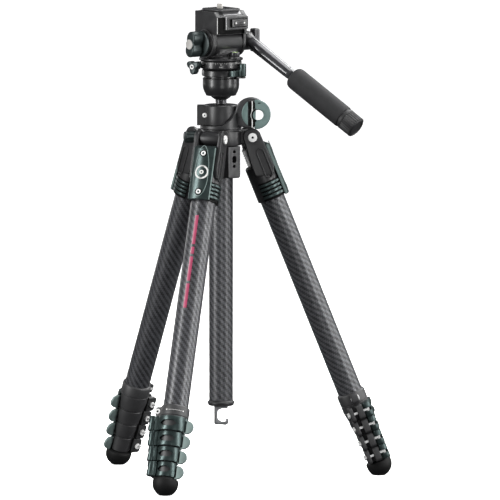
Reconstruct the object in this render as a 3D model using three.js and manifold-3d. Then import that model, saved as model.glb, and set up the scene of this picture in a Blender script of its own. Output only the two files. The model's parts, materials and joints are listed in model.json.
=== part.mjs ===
// Travel tripod with a video pan head. Millimetres, +Z up, standing on its three feet.
// Legs fold on hinge pins in the crown, each leg telescopes in five sections, and the centre column
// carries a ball, a pan base and a tilting plate clamp with a handle.
import * as THREE from "three";
import { mergeVertices } from "three/addons/utils/BufferGeometryUtils.js";
import Module from "manifold-3d";

const wasm = await Module();
wasm.setup();

// Shared
const GAP = 0.3; // clearance between pieces that touch
const FINE = 20; // facets of large round pieces
const MEDIUM = 16; // facets of tubes
const COARSE = 10; // facets of pins and small bores

// Legs
const LEGS = [
  { name: "front", angle: -90 },
  { name: "right", angle: 30 },
  { name: "left", angle: 150 },
];
const SPLAY = 22; // degrees between a leg and the vertical
const HINGE_R = 29.4; // hinge pin's distance from the column axis
const HINGE_Z = 343.3;
const TUBE_X = -2.5; // tube axis, inward of the hinge pin
const SECTION_R = [12.5, 11, 9.5, 8, 6.5];
const SECTION_TOP = [32, 36, 40, 44, 48]; // all distances below the hinge pin, along the leg
const WALL = 1.2;
const COLLAR_R = [14.3, 12.6, 11.1, 9.6];
const STAGE_TOP = 290.3;
const STAGE_PITCH = 15.5;
const STAGE_HEIGHT = 15.1;
const UPPER_RING_TOP = 277.8;
const PIN_R = 4;
const EAR_IN = 10.3;
const EAR_OUT = 14.6;
const SLEEVE_R = 14.6;
const SLEEVE_TOP = 29.4;
const SLEEVE_BOTTOM = 66;
const FOOT_R = 13;
const FOOT_CENTRE = 356.8;
const HUB_X = 7.9; // lever pivot, outward of the tube axis
const HUB_R = 4.2;
const CROSS_PIN_R = 1.5;
const LEVER_WALL = 1.9;
// The plate of a flip lever wraps the collar up to this angle from the outward direction.
const LEVER_END = 74;

// Crown and column
const CROWN_R = 21;
const COLUMN_R = 12;
const COLUMN_BOTTOM = 78.9;
const COLUMN_TOP = 371;
const HEAD_CLAMP_R = 17;
const HEAD_CLAMP_BOTTOM = 355.4;
const HEAD_CLAMP_TOP = 375.6;
const LOCK_TURN = 20; // direction of the column lock lever, about the column
const LOCK_PIN = { x: 30, y: -16.5 };
const KNOB_ANGLE = -150;
const BRACKET_ANGLE = -30;

// Ball head
const BALL_R = 13.7;
const BALL_Z = 393.2;
const SEAT_R = 14;
const CAVITY_R = 16;
const CAVITY_TOP = 406.7;
const SEAT_STEP = 388.6; // where the seat surface opens into the cavity of the ring
const BOWL_R = 18.3;
const BOWL_Z = 396.2;
const LEVER_ANGLE = -28; // clamp lever's pivot, about the column
const LEVER_PIVOT_R = 24.6;

// Pan and tilt head
const KNOB_AT = { x: -21.3, y: -3.8, z: 414.6 }; // inner end of the pan lock knob, in crown axes
const KNOB_TURN = -127;
const HEAD_TURN = -31;
const TILT_Z = 438;
const DRUM_R = 14.3;
const CHEEK_R = 14.6;
const AXLE_R = 5;
const WING_ANGLE = 80; // the tilt knob's upper wing, above the horizontal
const BLOCK_DEPTH = 17.5; // half sizes
const BLOCK_WIDTH = 19.3;
const BLOCK_BOTTOM = 447;
const BLOCK_TOP = 470;
const HANDLE_START = [5.5, 30, 439.6];
const HANDLE_DOWN = 33.7; // below the horizontal
const HANDLE_OUT = 21.5; // away from the operator's side, towards the rosette

const COLORS = {
  black: 0x1f2021,
  cast: 0x2b2c2d,
  green: 0x6c7876,
  carbon: 0x35363a,
  rubber: 0x141414,
  steel: 0xb9babc,
  foam: 0x2c2c2d,
  vial: 0x9fb58a,
};

const rad = THREE.MathUtils.degToRad;

// ---- solids from three.js geometry ----

function solid(geometry) {
  let g = geometry.clone();
  g.deleteAttribute("normal");
  g.deleteAttribute("uv");
  g = mergeVertices(g, 1e-4);
  return new wasm.Manifold(
    new wasm.Mesh({
      numProp: 3,
      vertProperties: new Float32Array(g.attributes.position.array),
      triVerts: new Uint32Array(g.index.array),
    }),
  );
}

function join(...pieces) {
  return pieces.reduce((a, b) => a.add(b));
}

function cut(body, ...tools) {
  return tools.reduce((a, b) => a.subtract(b), body);
}

function box(x0, x1, y0, y1, z0, z1) {
  const g = new THREE.BoxGeometry(x1 - x0, y1 - y0, z1 - z0);
  g.translate((x0 + x1) / 2, (y0 + y1) / 2, (z0 + z1) / 2);
  return solid(g);
}

function turned(geometry, axis) {
  if (axis === "x") geometry.rotateZ(-Math.PI / 2);
  if (axis === "z") geometry.rotateX(Math.PI / 2);
  return geometry;
}

// A cylinder along x, y or z: at is the centre of its lower end.
function rod(radius, length, at, axis = "z", segments = MEDIUM) {
  const g = new THREE.CylinderGeometry(radius, radius, length, segments);
  g.translate(0, length / 2, 0);
  turned(g, axis);
  g.translate(...at);
  return solid(g);
}

// A turned piece about z: profile is [radius, height] pairs, anticlockwise.
function lathe(profile, segments = FINE) {
  const points = profile.map(([r, z]) => new THREE.Vector2(r, z));
  if (profile[0][0] > 0) points.push(points[0].clone());
  return solid(turned(new THREE.LatheGeometry(points, segments), "z"));
}

function arc(radius, centre, from, to, steps) {
  return Array.from({ length: steps + 1 }, (_, i) => {
    const a = rad(from + ((to - from) * i) / steps);
    return [radius * Math.cos(a), centre + radius * Math.sin(a)];
  });
}

function shapeOf(points, holes = []) {
  const shape = new THREE.Shape(points.map(([x, y]) => new THREE.Vector2(x, y)));
  for (const [x, y, r] of holes) {
    shape.holes.push(new THREE.Path().absarc(x, y, r, 0, 2 * Math.PI, true));
  }
  return shape;
}

function extruded(shape, depth) {
  return new THREE.ExtrudeGeometry(shape, { depth, bevelEnabled: false, curveSegments: COARSE });
}

// An outline in the x-z plane, extruded along y from y0 to y1.
function slabY(shape, y0, y1) {
  const g = extruded(shape, y1 - y0);
  g.rotateX(Math.PI / 2);
  g.translate(0, y1, 0);
  return solid(g);
}

// An outline in the x-y plane, extruded along z from z0 to z1.
function slabZ(shape, z0, z1) {
  const g = extruded(shape, z1 - z0);
  g.translate(0, 0, z0);
  return solid(g);
}

// An outline in the y-z plane, extruded along x from x0 to x1.
function slabX(shape, x0, x1) {
  const g = extruded(shape, x1 - x0);
  g.rotateX(Math.PI / 2);
  g.rotateZ(Math.PI / 2);
  g.translate(x0, 0, 0);
  return solid(g);
}

function circlePoints(x, y, r, from, to, steps) {
  return Array.from({ length: steps + 1 }, (_, i) => {
    const a = rad(from + ((to - from) * i) / steps);
    return [x + r * Math.cos(a), y + r * Math.sin(a)];
  });
}

function roundedBox(halfX, halfY, r) {
  return shapeOf([
    ...circlePoints(halfX - r, halfY - r, r, 0, 90, 4),
    ...circlePoints(r - halfX, halfY - r, r, 90, 180, 4),
    ...circlePoints(r - halfX, r - halfY, r, 180, 270, 4),
    ...circlePoints(halfX - r, r - halfY, r, 270, 360, 4),
  ]);
}

function mesh(name, body, color) {
  const data = body.getMesh();
  const g = new THREE.BufferGeometry();
  const stride = data.numProp;
  const positions = new Float32Array((data.vertProperties.length / stride) * 3);
  for (let i = 0; i < positions.length / 3; i++) {
    positions.set(data.vertProperties.subarray(i * stride, i * stride + 3), i * 3);
  }
  g.setAttribute("position", new THREE.BufferAttribute(positions, 3));
  g.setIndex(new THREE.BufferAttribute(new Uint32Array(data.triVerts), 1));
  g.computeVertexNormals();
  const piece = new THREE.Mesh(g, new THREE.MeshStandardMaterial({ color, flatShading: true }));
  piece.name = name;
  return piece;
}

const tripod = new THREE.Group();
tripod.name = "travel_tripod";

// ---- one leg: x outward, y along the hinge pin, z up the leg, origin at the hinge pin ----

function legCasting() {
  const sleeve = lathe(
    [
      [0, -SLEEVE_BOTTOM],
      [SLEEVE_R - 0.8, -SLEEVE_BOTTOM],
      [SLEEVE_R, -SLEEVE_BOTTOM + 0.8],
      [SLEEVE_R, -SLEEVE_TOP - 1],
      [SLEEVE_R - 1, -SLEEVE_TOP],
      [0, -SLEEVE_TOP],
    ],
    MEDIUM,
  ).translate([TUBE_X, 0, 0]);
  const ear = shapeOf([
    ...circlePoints(0, 0, 9, -8, 188, 9),
    [-11.5, -24],
    [-11.5, -38],
    [6.5, -44],
    [9.6, -34],
  ]);
  const ears = join(slabY(ear, EAR_IN, EAR_OUT), slabY(ear, -EAR_OUT, -EAR_IN));
  const rib = shapeOf([
    ...circlePoints(2.6, -44, 2.2, 180, 360, 6),
    ...circlePoints(2.6, -14, 2.2, 0, 180, 6),
  ]);
  const ribs = join(slabY(rib, EAR_OUT - 1, EAR_OUT + 1), slabY(rib, -EAR_OUT - 1, 1 - EAR_OUT));
  const latchPin = rod(1.5, 2 * EAR_IN + 2, [-8.2, -EAR_IN - 1, -24], "y", COARSE);
  const bore = rod(SECTION_R[0] + GAP, SLEEVE_BOTTOM, [TUBE_X, 0, -SLEEVE_BOTTOM - 32 + 0.3], "z");
  const pinHole = rod(PIN_R + GAP, 40, [0, -20, 0], "y", COARSE);
  return join(cut(join(sleeve, ears, ribs), bore, pinHole), latchPin);
}

function legCover() {
  const outer = slabZ(
    shapeOf([
      ...circlePoints(13.2, 8.2, 2.5, 0, 90, 4),
      [9.9, 10.8],
      [9.9, -10.8],
      ...circlePoints(13.2, -8.2, 2.5, -90, 0, 4),
    ]),
    -66.5,
    -9.6,
  );
  const clearance = rod(SLEEVE_R + GAP, 40, [TUBE_X, 0, -SLEEVE_BOTTOM - 1], "z", MEDIUM);
  const topSlope = box(-8, 0, -12, 12, 0, 8).rotate([0, 38, 0]).translate([15.8, 0, -14]);
  let cover = cut(outer, clearance, topSlope);
  for (const s of [50, 55.5, 61]) {
    const band = lathe(
      [
        [SLEEVE_R + GAP, -s - 1.6],
        [SLEEVE_R + 1.2, -s - 1.6],
        [SLEEVE_R + 1.2, -s + 1.6],
        [SLEEVE_R + GAP, -s + 1.6],
      ],
      MEDIUM,
    ).translate([TUBE_X, 0, 0]);
    cover = join(cover, cut(band, box(-40, TUBE_X - 8, -20, 20, -s - 3, -s + 3)));
  }
  const screwSeat = (s) => rod(2.9, 4, [14.7, 0, -s], "x", COARSE);
  return cut(cover, screwSeat(19.2), screwSeat(59));
}

function angleLatch() {
  const barrel = rod(3.1, 15, [-8.2, -7.5, -24], "y", COARSE);
  const arm = slabY(
    shapeOf([
      [-8.2, -26],
      [-11.6, -28.6],
      [-12.9, -27],
      [-12.4, -21],
      [-13.2, -19.5],
      [-12.2, -17.5],
      [-13, -15.6],
      [-12, -13.6],
      [-12.4, -10.4],
      [-9.4, -10.4],
      [-8.4, -20],
    ]),
    -6,
    6,
  );
  const bore = rod(1.5 + GAP, 20, [-8.2, -10, -24], "y", COARSE);
  return cut(join(barrel, arm), bore);
}

// Clamp ears on the -y side of a collar, with the screw that ends in the lever's cross pin.
function clampEars(radius, top) {
  const bottom = top - STAGE_HEIGHT;
  const middle = (top + bottom) / 2;
  const far = -(radius + 7);
  const ear = (x0, x1) =>
    slabX(
      shapeOf([
        [-radius + 3.5, top],
        ...circlePoints(far + 3, top - 3, 3, 90, 180, 2),
        ...circlePoints(far + 3, bottom + 3, 3, 180, 270, 2),
        [-radius + 3.5, bottom],
      ]),
      x0,
      x1,
    );
  return {
    ears: join(ear(-11.3, -7.3), ear(-3.4, 3)),
    slit: box(-7.3, -3.4, far, -(radius - 1.6), bottom - 1, top + 1),
    screw: join(
      rod(1.3, HUB_X + 13.5, [-13.5, hubY(radius), middle], "x", COARSE),
      rod(2.7, 2, [-13.5, hubY(radius), middle], "x", COARSE),
      rod(CROSS_PIN_R, 13.6, [HUB_X, hubY(radius), middle - 6.8], "z", COARSE),
    ),
  };
}

function hubY(radius) {
  return -(radius + 4.6);
}

function stageTop(k) {
  return -(STAGE_TOP + STAGE_PITCH * k);
}

// Section k is a tube with a clamp collar round its lower end, which grips the next section.
function legSection(k) {
  const top = stageTop(k);
  const bottom = top - STAGE_HEIGHT;
  const collarTop = k === 0 ? -UPPER_RING_TOP : top;
  const r = COLLAR_R[k];
  const outside = lathe(
    [
      [0, bottom],
      [r, bottom],
      [r, collarTop],
      [SECTION_R[k], collarTop],
      [SECTION_R[k], -SECTION_TOP[k]],
      [0, -SECTION_TOP[k]],
    ],
    MEDIUM,
  );
  const clamp = clampEars(r, top);
  let body = cut(join(outside, clamp.ears), clamp.slit);
  if (k === 0) {
    const lug = box(-4, 3, -r - 5.6, -r + 3, -UPPER_RING_TOP - 10.8, -UPPER_RING_TOP - 1);
    body = join(body, lug);
  }
  const bore = rod(SECTION_R[k] - WALL, 400, [0, 0, bottom - 20], "z", MEDIUM);
  return join(cut(body, bore), clamp.screw).translate([TUBE_X, 0, 0]);
}

function footSection(groundBox) {
  const top = stageTop(4) + 0.1;
  const tube = lathe(
    [
      [SECTION_R[4] - WALL, top - 4],
      [SECTION_R[4], top - 4],
      [SECTION_R[4], -SECTION_TOP[4]],
      [SECTION_R[4] - WALL, -SECTION_TOP[4]],
    ],
    MEDIUM,
  );
  const foot = lathe(
    [
      ...arc(FOOT_R, -FOOT_CENTRE, -90, -10, 6),
      [FOOT_R, -FOOT_CENTRE + 1.5],
      [FOOT_R - 1.2, top - 0.6],
      [FOOT_R - 3, top],
      [0, top],
    ],
    MEDIUM,
  );
  return cut(join(tube, foot).translate([TUBE_X, 0, 0]), groundBox);
}

function flipLever(k) {
  const r = COLLAR_R[k];
  const top = stageTop(k) - 0.2;
  const bottom = top - STAGE_HEIGHT + 0.4;
  const middle = (top + bottom) / 2;
  const inner = r + GAP;
  const outer = inner + LEVER_WALL;
  const hub = hubY(r);
  const plate = slabZ(
    shapeOf([
      ...circlePoints(0, 0, inner, LEVER_END, -58, 7),
      ...circlePoints(0, 0, outer, -58, LEVER_END, 7),
    ]),
    bottom,
    top,
  );
  const armX = inner * Math.cos(rad(58));
  const arm = box(armX + 0.1, HUB_X + 3.4, hub, -inner * Math.sin(rad(58)) + 0.1, bottom, top);
  const barrel = rod(HUB_R, top - bottom, [HUB_X, hub, bottom], "z", COARSE + 2);
  const tabX = outer * Math.cos(rad(LEVER_END));
  const tabY = outer * Math.sin(rad(LEVER_END));
  const tab = slabX(
    shapeOf([
      [tabY - 1.6, bottom],
      ...circlePoints(tabY + 0.9, middle, 7.2, -90, 90, 6),
      [tabY - 1.6, top],
    ]),
    tabX - 1,
    tabX + 1.6,
  );
  const pinBore = rod(CROSS_PIN_R + GAP, 30, [HUB_X, hub, bottom - 5], "z", COARSE);
  const swing = slabZ(
    shapeOf([
      [HUB_X, hub + 1.7],
      ...circlePoints(HUB_X, hub, HUB_R + 1.4, 162, 312, 6),
      [HUB_X + 1.6, hub + 0.6],
    ]),
    middle - 1.8,
    middle + 1.8,
  );
  const hole = slabX(
    shapeOf([
      ...circlePoints(5, middle, 3, -90, 90, 4),
      ...circlePoints(-5, middle, 3, 90, 270, 4),
    ]),
    inner - 4,
    outer + 4,
  );
  const body = cut(join(plate, arm, barrel, tab), pinBore, swing, hole);
  return body.translate([TUBE_X, 0, 0]);
}

for (const leg of LEGS) {
  const swing = new THREE.Group();
  swing.rotation.z = rad(leg.angle);
  const frame = new THREE.Group();
  frame.position.set(HINGE_R, 0, HINGE_Z);
  frame.rotation.y = -rad(SPLAY);
  swing.add(frame);
  tripod.add(swing);
  const ground = box(60, 200, -60, 60, -40, 0)
    .rotate([0, SPLAY, 0])
    .translate([-HINGE_Z * Math.sin(rad(SPLAY)), 0, -HINGE_Z * Math.cos(rad(SPLAY))]);
  const name = (part) => `leg_${leg.name}_${part}`;
  frame.add(mesh(name("casting"), legCasting(), COLORS.cast));
  frame.add(mesh(name("cover"), legCover(), COLORS.green));
  frame.add(mesh(name("angle_latch"), angleLatch(), COLORS.black));
  for (let k = 0; k < 4; k++) {
    frame.add(mesh(name(`section_${k + 1}`), legSection(k), COLORS.carbon));
    frame.add(mesh(name(`lever_${k + 1}`), flipLever(k), COLORS.green));
  }
  frame.add(mesh(name("foot_section"), footSection(ground), COLORS.rubber));
}

// ---- crown: x towards the column lock lever, y away from the lever's face ----

const crown = new THREE.Group();
crown.rotation.z = rad(LOCK_TURN);
tripod.add(crown);

function crownBody() {
  const ring = lathe([
    [COLUMN_R + GAP, 335],
    [CROWN_R, 335],
    [CROWN_R, 350],
    [CROWN_R - 0.8, 350.4],
    [CROWN_R - 0.8, 351.4],
    [CROWN_R - 0.2, 352],
    [CROWN_R - 0.2, 355],
    [COLUMN_R + GAP, 355],
  ]);
  let body = ring;
  for (const leg of LEGS) {
    const arm = shapeOf([
      ...circlePoints(HINGE_R, HINGE_Z, 6.5, -90, 90, 6),
      [15, HINGE_Z + 6.5],
      [15, HINGE_Z - 6.5],
    ]);
    const pin = join(
      rod(PIN_R, 30, [HINGE_R, -15, HINGE_Z], "y", COARSE),
      rod(4.6, 1, [HINGE_R, -EAR_OUT - 1.3, HINGE_Z], "y", COARSE),
      rod(4.6, 1, [HINGE_R, EAR_OUT + 0.3, HINGE_Z], "y", COARSE),
    );
    const knuckle = join(slabY(arm, -10, 10), pin);
    body = join(body, knuckle.rotate([0, 0, leg.angle - LOCK_TURN]));
  }
  const wall = lathe([
    [HEAD_CLAMP_R + 0.4, 354],
    [CROWN_R - 0.5, 354],
    [CROWN_R - 0.5, 376],
    [HEAD_CLAMP_R + 0.4, 376],
  ]);
  const slope = slabY(
    shapeOf([
      [-30, 354.4],
      [1, 355.4],
      [10, 362],
      [20.5, 375.5],
      [20.5, 400],
      [-30, 400],
    ]),
    -30,
    30,
  );
  const bossOutline = shapeOf(
    [
      ...circlePoints(30, 367.8, 15.8, -40, 205, 12),
      [16, 355],
      [24, 353.4],
      [38, 353.4],
    ],
    [[37.2, 366.6, 5.9]],
  );
  const boss = slabY(bossOutline, -12.5, -4.5);
  const crescent = slabY(shapeOf(circlePoints(35, 368, 14.3, 124, 236, 7)), -18, -12);
  const yoke = box(28, 31.6, LOCK_PIN.y - 1.6, -12, 362.6, 372.6);
  const lockPin = rod(1.3, 22, [LOCK_PIN.x, LOCK_PIN.y, 356.5], "z", COARSE);
  const headClearance = rod(HEAD_CLAMP_R + 0.4, 40, [0, 0, 355.1], "z", FINE);
  const columnBore = rod(COLUMN_R + GAP, 60, [0, 0, 320], "z", FINE);
  const knobBore = rod(3.3, 12, [0, 0, 0], "x", COARSE)
    .translate([14, 0, 0])
    .rotate([0, 0, KNOB_ANGLE - LOCK_TURN])
    .translate([0, 0, 343.6]);
  const collar = join(cut(wall, slope), boss, crescent, yoke, lockPin);
  return cut(join(body, cut(collar, headClearance)), columnBore, knobBore);
}

function lockLever() {
  const disc = shapeOf([
    [33.4, 354.6],
    ...circlePoints(35, 368, 14.3, -82, 82, 12),
    [33.4, 381.6],
  ]);
  const body = slabY(disc, -19, -13.2);
  const hole = rod(5.2, 20, [37.2, -26, 366.6], "y", MEDIUM);
  const knuckle = (z0, z1) =>
    join(
      rod(2.6, z1 - z0, [LOCK_PIN.x, LOCK_PIN.y, z0], "z", COARSE),
      box(LOCK_PIN.x, 34.5, LOCK_PIN.y - 2.4, LOCK_PIN.y + 2.4, z0, z1),
    );
  const bore = rod(1.6, 60, [LOCK_PIN.x, LOCK_PIN.y, 340], "z", COARSE);
  return cut(join(body, knuckle(355.6, 362.2), knuckle(373, 379.5)), hole, bore);
}

function columnHead() {
  const collar = lathe([
    [0, HEAD_CLAMP_BOTTOM],
    [HEAD_CLAMP_R - 0.5, HEAD_CLAMP_BOTTOM],
    [HEAD_CLAMP_R, HEAD_CLAMP_BOTTOM + 0.5],
    [HEAD_CLAMP_R, HEAD_CLAMP_TOP - 1],
    [HEAD_CLAMP_R - 1, HEAD_CLAMP_TOP],
    [0, HEAD_CLAMP_TOP],
  ]);
  const lug = box(-24, -10, -8, 8, HEAD_CLAMP_BOTTOM, HEAD_CLAMP_TOP - 0.6);
  const bore = rod(COLUMN_R + GAP, COLUMN_TOP - 340, [0, 0, 340.3], "z", FINE);
  const thread = rod(4.8, 20, [0, 0, 365], "z", MEDIUM);
  const slit = box(-30, -11, -0.8, 0.8, 340, 390);
  const clampBore = rod(1.6, 20, [-18.5, -10, 365.4], "y", COARSE);
  return cut(join(collar, lug), bore, thread, slit, clampBore);
}

function crownKnob() {
  const lobes = 6;
  const outline = Array.from({ length: lobes * 4 }, (_, i) => {
    const a = (2 * Math.PI * i) / (lobes * 4);
    const r = 5.7 + 0.35 * Math.cos(lobes * a);
    return [r * Math.cos(a), r * Math.sin(a)];
  });
  const grip = slabX(shapeOf(outline), 23.4, 37.4);
  const screw = rod(3, 8, [16, 0, 0], "x", COARSE);
  return join(grip, screw).translate([0, 0, 343.6]);
}

function accessoryBracket() {
  const plate = slabX(
    shapeOf([
      [-7.85, 334.7],
      ...circlePoints(-5.35, 305.5, 2.5, 180, 270, 3),
      ...circlePoints(5.35, 305.5, 2.5, 270, 360, 3),
      [7.85, 334.7],
    ]),
    13.4,
    21,
  );
  const hole = (r, z) => rod(r, 20, [8, 0, z], "x", COARSE);
  return cut(plate, hole(1.6, 329.4), hole(2.7, 322), hole(1.6, 315));
}

const knobGroup = new THREE.Group();
knobGroup.rotation.z = rad(KNOB_ANGLE);
knobGroup.add(mesh("crown_knob", crownKnob(), COLORS.green));
const bracketGroup = new THREE.Group();
bracketGroup.rotation.z = rad(BRACKET_ANGLE);
bracketGroup.add(mesh("accessory_bracket", accessoryBracket(), COLORS.cast));
tripod.add(knobGroup, bracketGroup);

crown.add(mesh("crown", crownBody(), COLORS.cast));
crown.add(mesh("column_lock_lever", lockLever(), COLORS.green));
crown.add(mesh("column_head", columnHead(), COLORS.cast));

// ---- centre column ----

function columnTube() {
  return lathe([
    [COLUMN_R - 1.5, COLUMN_BOTTOM],
    [COLUMN_R, COLUMN_BOTTOM],
    [COLUMN_R, COLUMN_TOP],
    [COLUMN_R - 1.5, COLUMN_TOP],
  ]);
}

function columnEndCap() {
  const turnedBody = lathe([
    [0, 72.9],
    [9, 72.9],
    [12.5, 73.5],
    [14, 75.2],
    [14, 76.4],
    [12.6, 78.5],
    [10.2, 78.6],
    [10.2, 92],
    [0, 92],
  ]);
  return cut(turnedBody, rod(3.3, 12, [0, 0, 72], "z", COARSE));
}

function hook() {
  const outline = shapeOf([
    [-7, 72.5],
    [-7, 55],
    [-5.5, 53.5],
    [5.6, 53.5],
    [7.5, 55.4],
    [7.5, 59.2],
    [6.6, 60],
    [5.6, 59.2],
    [4.4, 57.2],
    [2.4, 56.4],
    [0.4, 56.8],
    [-2, 58.2],
    [-3.3, 61],
    [-3.3, 66.5],
    [-1.6, 68.9],
    [1, 70],
    [6.6, 70.2],
    [6.8, 72.5],
  ]);
  return join(slabY(outline, -2.6, 2.6), rod(3, 10, [0, 0, 72], "z", COARSE));
}

crown.add(mesh("column_tube", columnTube(), COLORS.carbon));
crown.add(mesh("column_end_cap", columnEndCap(), COLORS.cast));
crown.add(mesh("weight_hook", hook(), COLORS.steel));

// ---- ball head ----

function ballStem() {
  const top = 403.1;
  const topAngle = (Math.asin((top - BALL_Z) / BALL_R) * 180) / Math.PI;
  const neckAngle = (Math.acos(5.5 / BALL_R) * 180) / Math.PI;
  return lathe(
    [
      [0, 371.3],
      [4.5, 371.3],
      [4.5, HEAD_CLAMP_TOP + GAP],
      [5.5, HEAD_CLAMP_TOP + GAP],
      ...arc(BALL_R, BALL_Z, -neckAngle, topAngle, 8),
      [0, top],
    ],
    FINE,
  );
}

// A sphere's outline from one height to another.
function section(radius, centre, from, to, steps) {
  const angle = (z) => (Math.asin((z - centre) / radius) * 180) / Math.PI;
  return arc(radius, centre, angle(from), angle(to), steps);
}

function ballSeatRing() {
  return lathe([
    ...section(CAVITY_R - 0.5, BALL_Z, 394.6, 401, 4),
    ...section(SEAT_R, BALL_Z, 401, 394.6, 4),
  ]);
}

function ballHousing() {
  return lathe([
    ...section(SEAT_R, BALL_Z, SEAT_STEP, 385, 3),
    ...section(BOWL_R, BOWL_Z, 385, 398, 5),
    [BOWL_R, 404.2],
    [19, 404.6],
    [19, 410.4],
    [18.4, 411],
    [8.3, 411],
    [8.3, 408.5],
    [0, 408.5],
    [0, CAVITY_TOP],
    ...section(CAVITY_R, BALL_Z, CAVITY_TOP, SEAT_STEP, 6),
  ]);
}

function polar(radius, angle) {
  return [radius * Math.cos(rad(angle)), radius * Math.sin(rad(angle))];
}

function clampLever() {
  const grip = slabZ(
    shapeOf([
      ...circlePoints(0, 0, 22.6, -64, -30, 6),
      ...circlePoints(0, 0, 19.5, -30, -64, 6),
    ]),
    404.9,
    410.9,
  );
  const [x, y] = polar(LEVER_PIVOT_R, LEVER_ANGLE);
  const hub = rod(3.2, 12.6, [x, y, 404.9], "z", COARSE + 2);
  const web = slabZ(
    shapeOf([
      ...circlePoints(0, 0, 25, -40, -30, 2),
      ...circlePoints(0, 0, 21, -30, -40, 2),
    ]),
    404.9,
    410.9,
  );
  return cut(join(grip, web, hub), rod(1.7, 30, [x, y, 400], "z", COARSE));
}

function clampLeverPivot() {
  const [x, y] = polar(LEVER_PIVOT_R, LEVER_ANGLE);
  const arm = box(12, LEVER_PIVOT_R + 2.6, -3, 3, 401.6, 404.5).rotate([0, 0, LEVER_ANGLE]);
  const insideBowl = rod(17.4, 20, [0, 0, 390], "z", FINE);
  return cut(join(arm, rod(1.4, 13, [x, y, 404], "z", COARSE)), insideBowl);
}

crown.add(mesh("ball_stem", ballStem(), COLORS.steel));
crown.add(mesh("ball_seat_ring", ballSeatRing(), COLORS.black));
crown.add(mesh("ball_housing", join(ballHousing(), clampLeverPivot()), COLORS.cast));
crown.add(mesh("ball_clamp_lever", clampLever(), COLORS.green));

// ---- pan and tilt head: x towards the operator's side, y along the tilt axis to the handle ----

const head = new THREE.Group();
head.rotation.z = rad(HEAD_TURN);
tripod.add(head);

function panBase() {
  return lathe([
    [0, 408.9],
    [8, 408.9],
    [8, 411.3],
    [18.8, 411.3],
    [18.8, 412.2],
    [20.2, 412.4],
    [20.6, 413],
    [20.6, 419.6],
    [20, 420.2],
    [6, 420.2],
    [6, 423],
    [0, 423],
  ]);
}

function panLockKnob() {
  const lobes = 3;
  const outline = Array.from({ length: lobes * 8 }, (_, i) => {
    const a = (2 * Math.PI * i) / (lobes * 8);
    const r = 6.1 + 1.7 * Math.cos(lobes * a - Math.PI / 2);
    return [r * Math.cos(a), r * Math.sin(a)];
  });
  const grip = slabX(shapeOf(outline), 5.2, 12.6);
  const cap = rod(2.6, 0.9, [12.4, 0, 0], "x", COARSE);
  const neck = rod(3.4, 3.8, [1.9, 0, 0], "x", COARSE);
  const screw = rod(2, 6.8, [-4.4, 0, 0], "x", COARSE);
  return join(grip, cap, neck, screw);
}

function headBody() {
  const turntable = lathe([
    [0, 423.3],
    [6.3, 423.3],
    [6.3, 420.5],
    [21.4, 420.5],
    [22, 421],
    [22, 422.2],
    [21.4, 422.7],
    [16.4, 422.8],
    [14, 430],
    [0, 430],
  ]);
  const drum = rod(DRUM_R, 33.6, [0, -16.8, TILT_Z], "y", FINE);
  const neck = box(-12.5, 12.5, -14, 14, 424.4, TILT_Z);
  const vialLug = rod(5.6, 2.4, [20.5, 1.5, 422.5], "z", MEDIUM);
  const axle = join(
    rod(AXLE_R, 45.4, [0, -23.2, TILT_Z], "y", MEDIUM),
    rod(3.4, 12, [0, -34, TILT_Z], "y", COARSE),
  );
  const vialClearance = rod(5, 20, [20.5, 1.5, 423.7], "z", MEDIUM);
  return join(cut(join(turntable, neck, drum, vialLug), vialClearance), axle);
}

function bubbleLevel() {
  return lathe(
    [
      [0, 424],
      [4.7, 424],
      [4.7, 428.6],
      [4.1, 429.3],
      [0, 429.7],
    ],
    MEDIUM,
  ).translate([20.5, 1.5, 0]);
}

function tiltKnob() {
  const steps = 32;
  const outline = Array.from({ length: steps }, (_, i) => {
    const a = (2 * Math.PI * i) / steps;
    const r = 9.2 + 3.9 * Math.cos(2 * (a - rad(WING_ANGLE)));
    return [r * Math.cos(a), TILT_Z + r * Math.sin(a)];
  });
  const grip = slabY(shapeOf(outline), -40, -25.6);
  const flange = rod(13.4, 2, [0, -25.8, TILT_Z], "y", FINE);
  const cap = rod(5, 1.2, [0, -41, TILT_Z], "y", COARSE + 4);
  const bore = rod(3.7, 12, [0, -34.3, TILT_Z], "y", COARSE);
  return cut(join(grip, flange, cap), bore);
}

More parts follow.
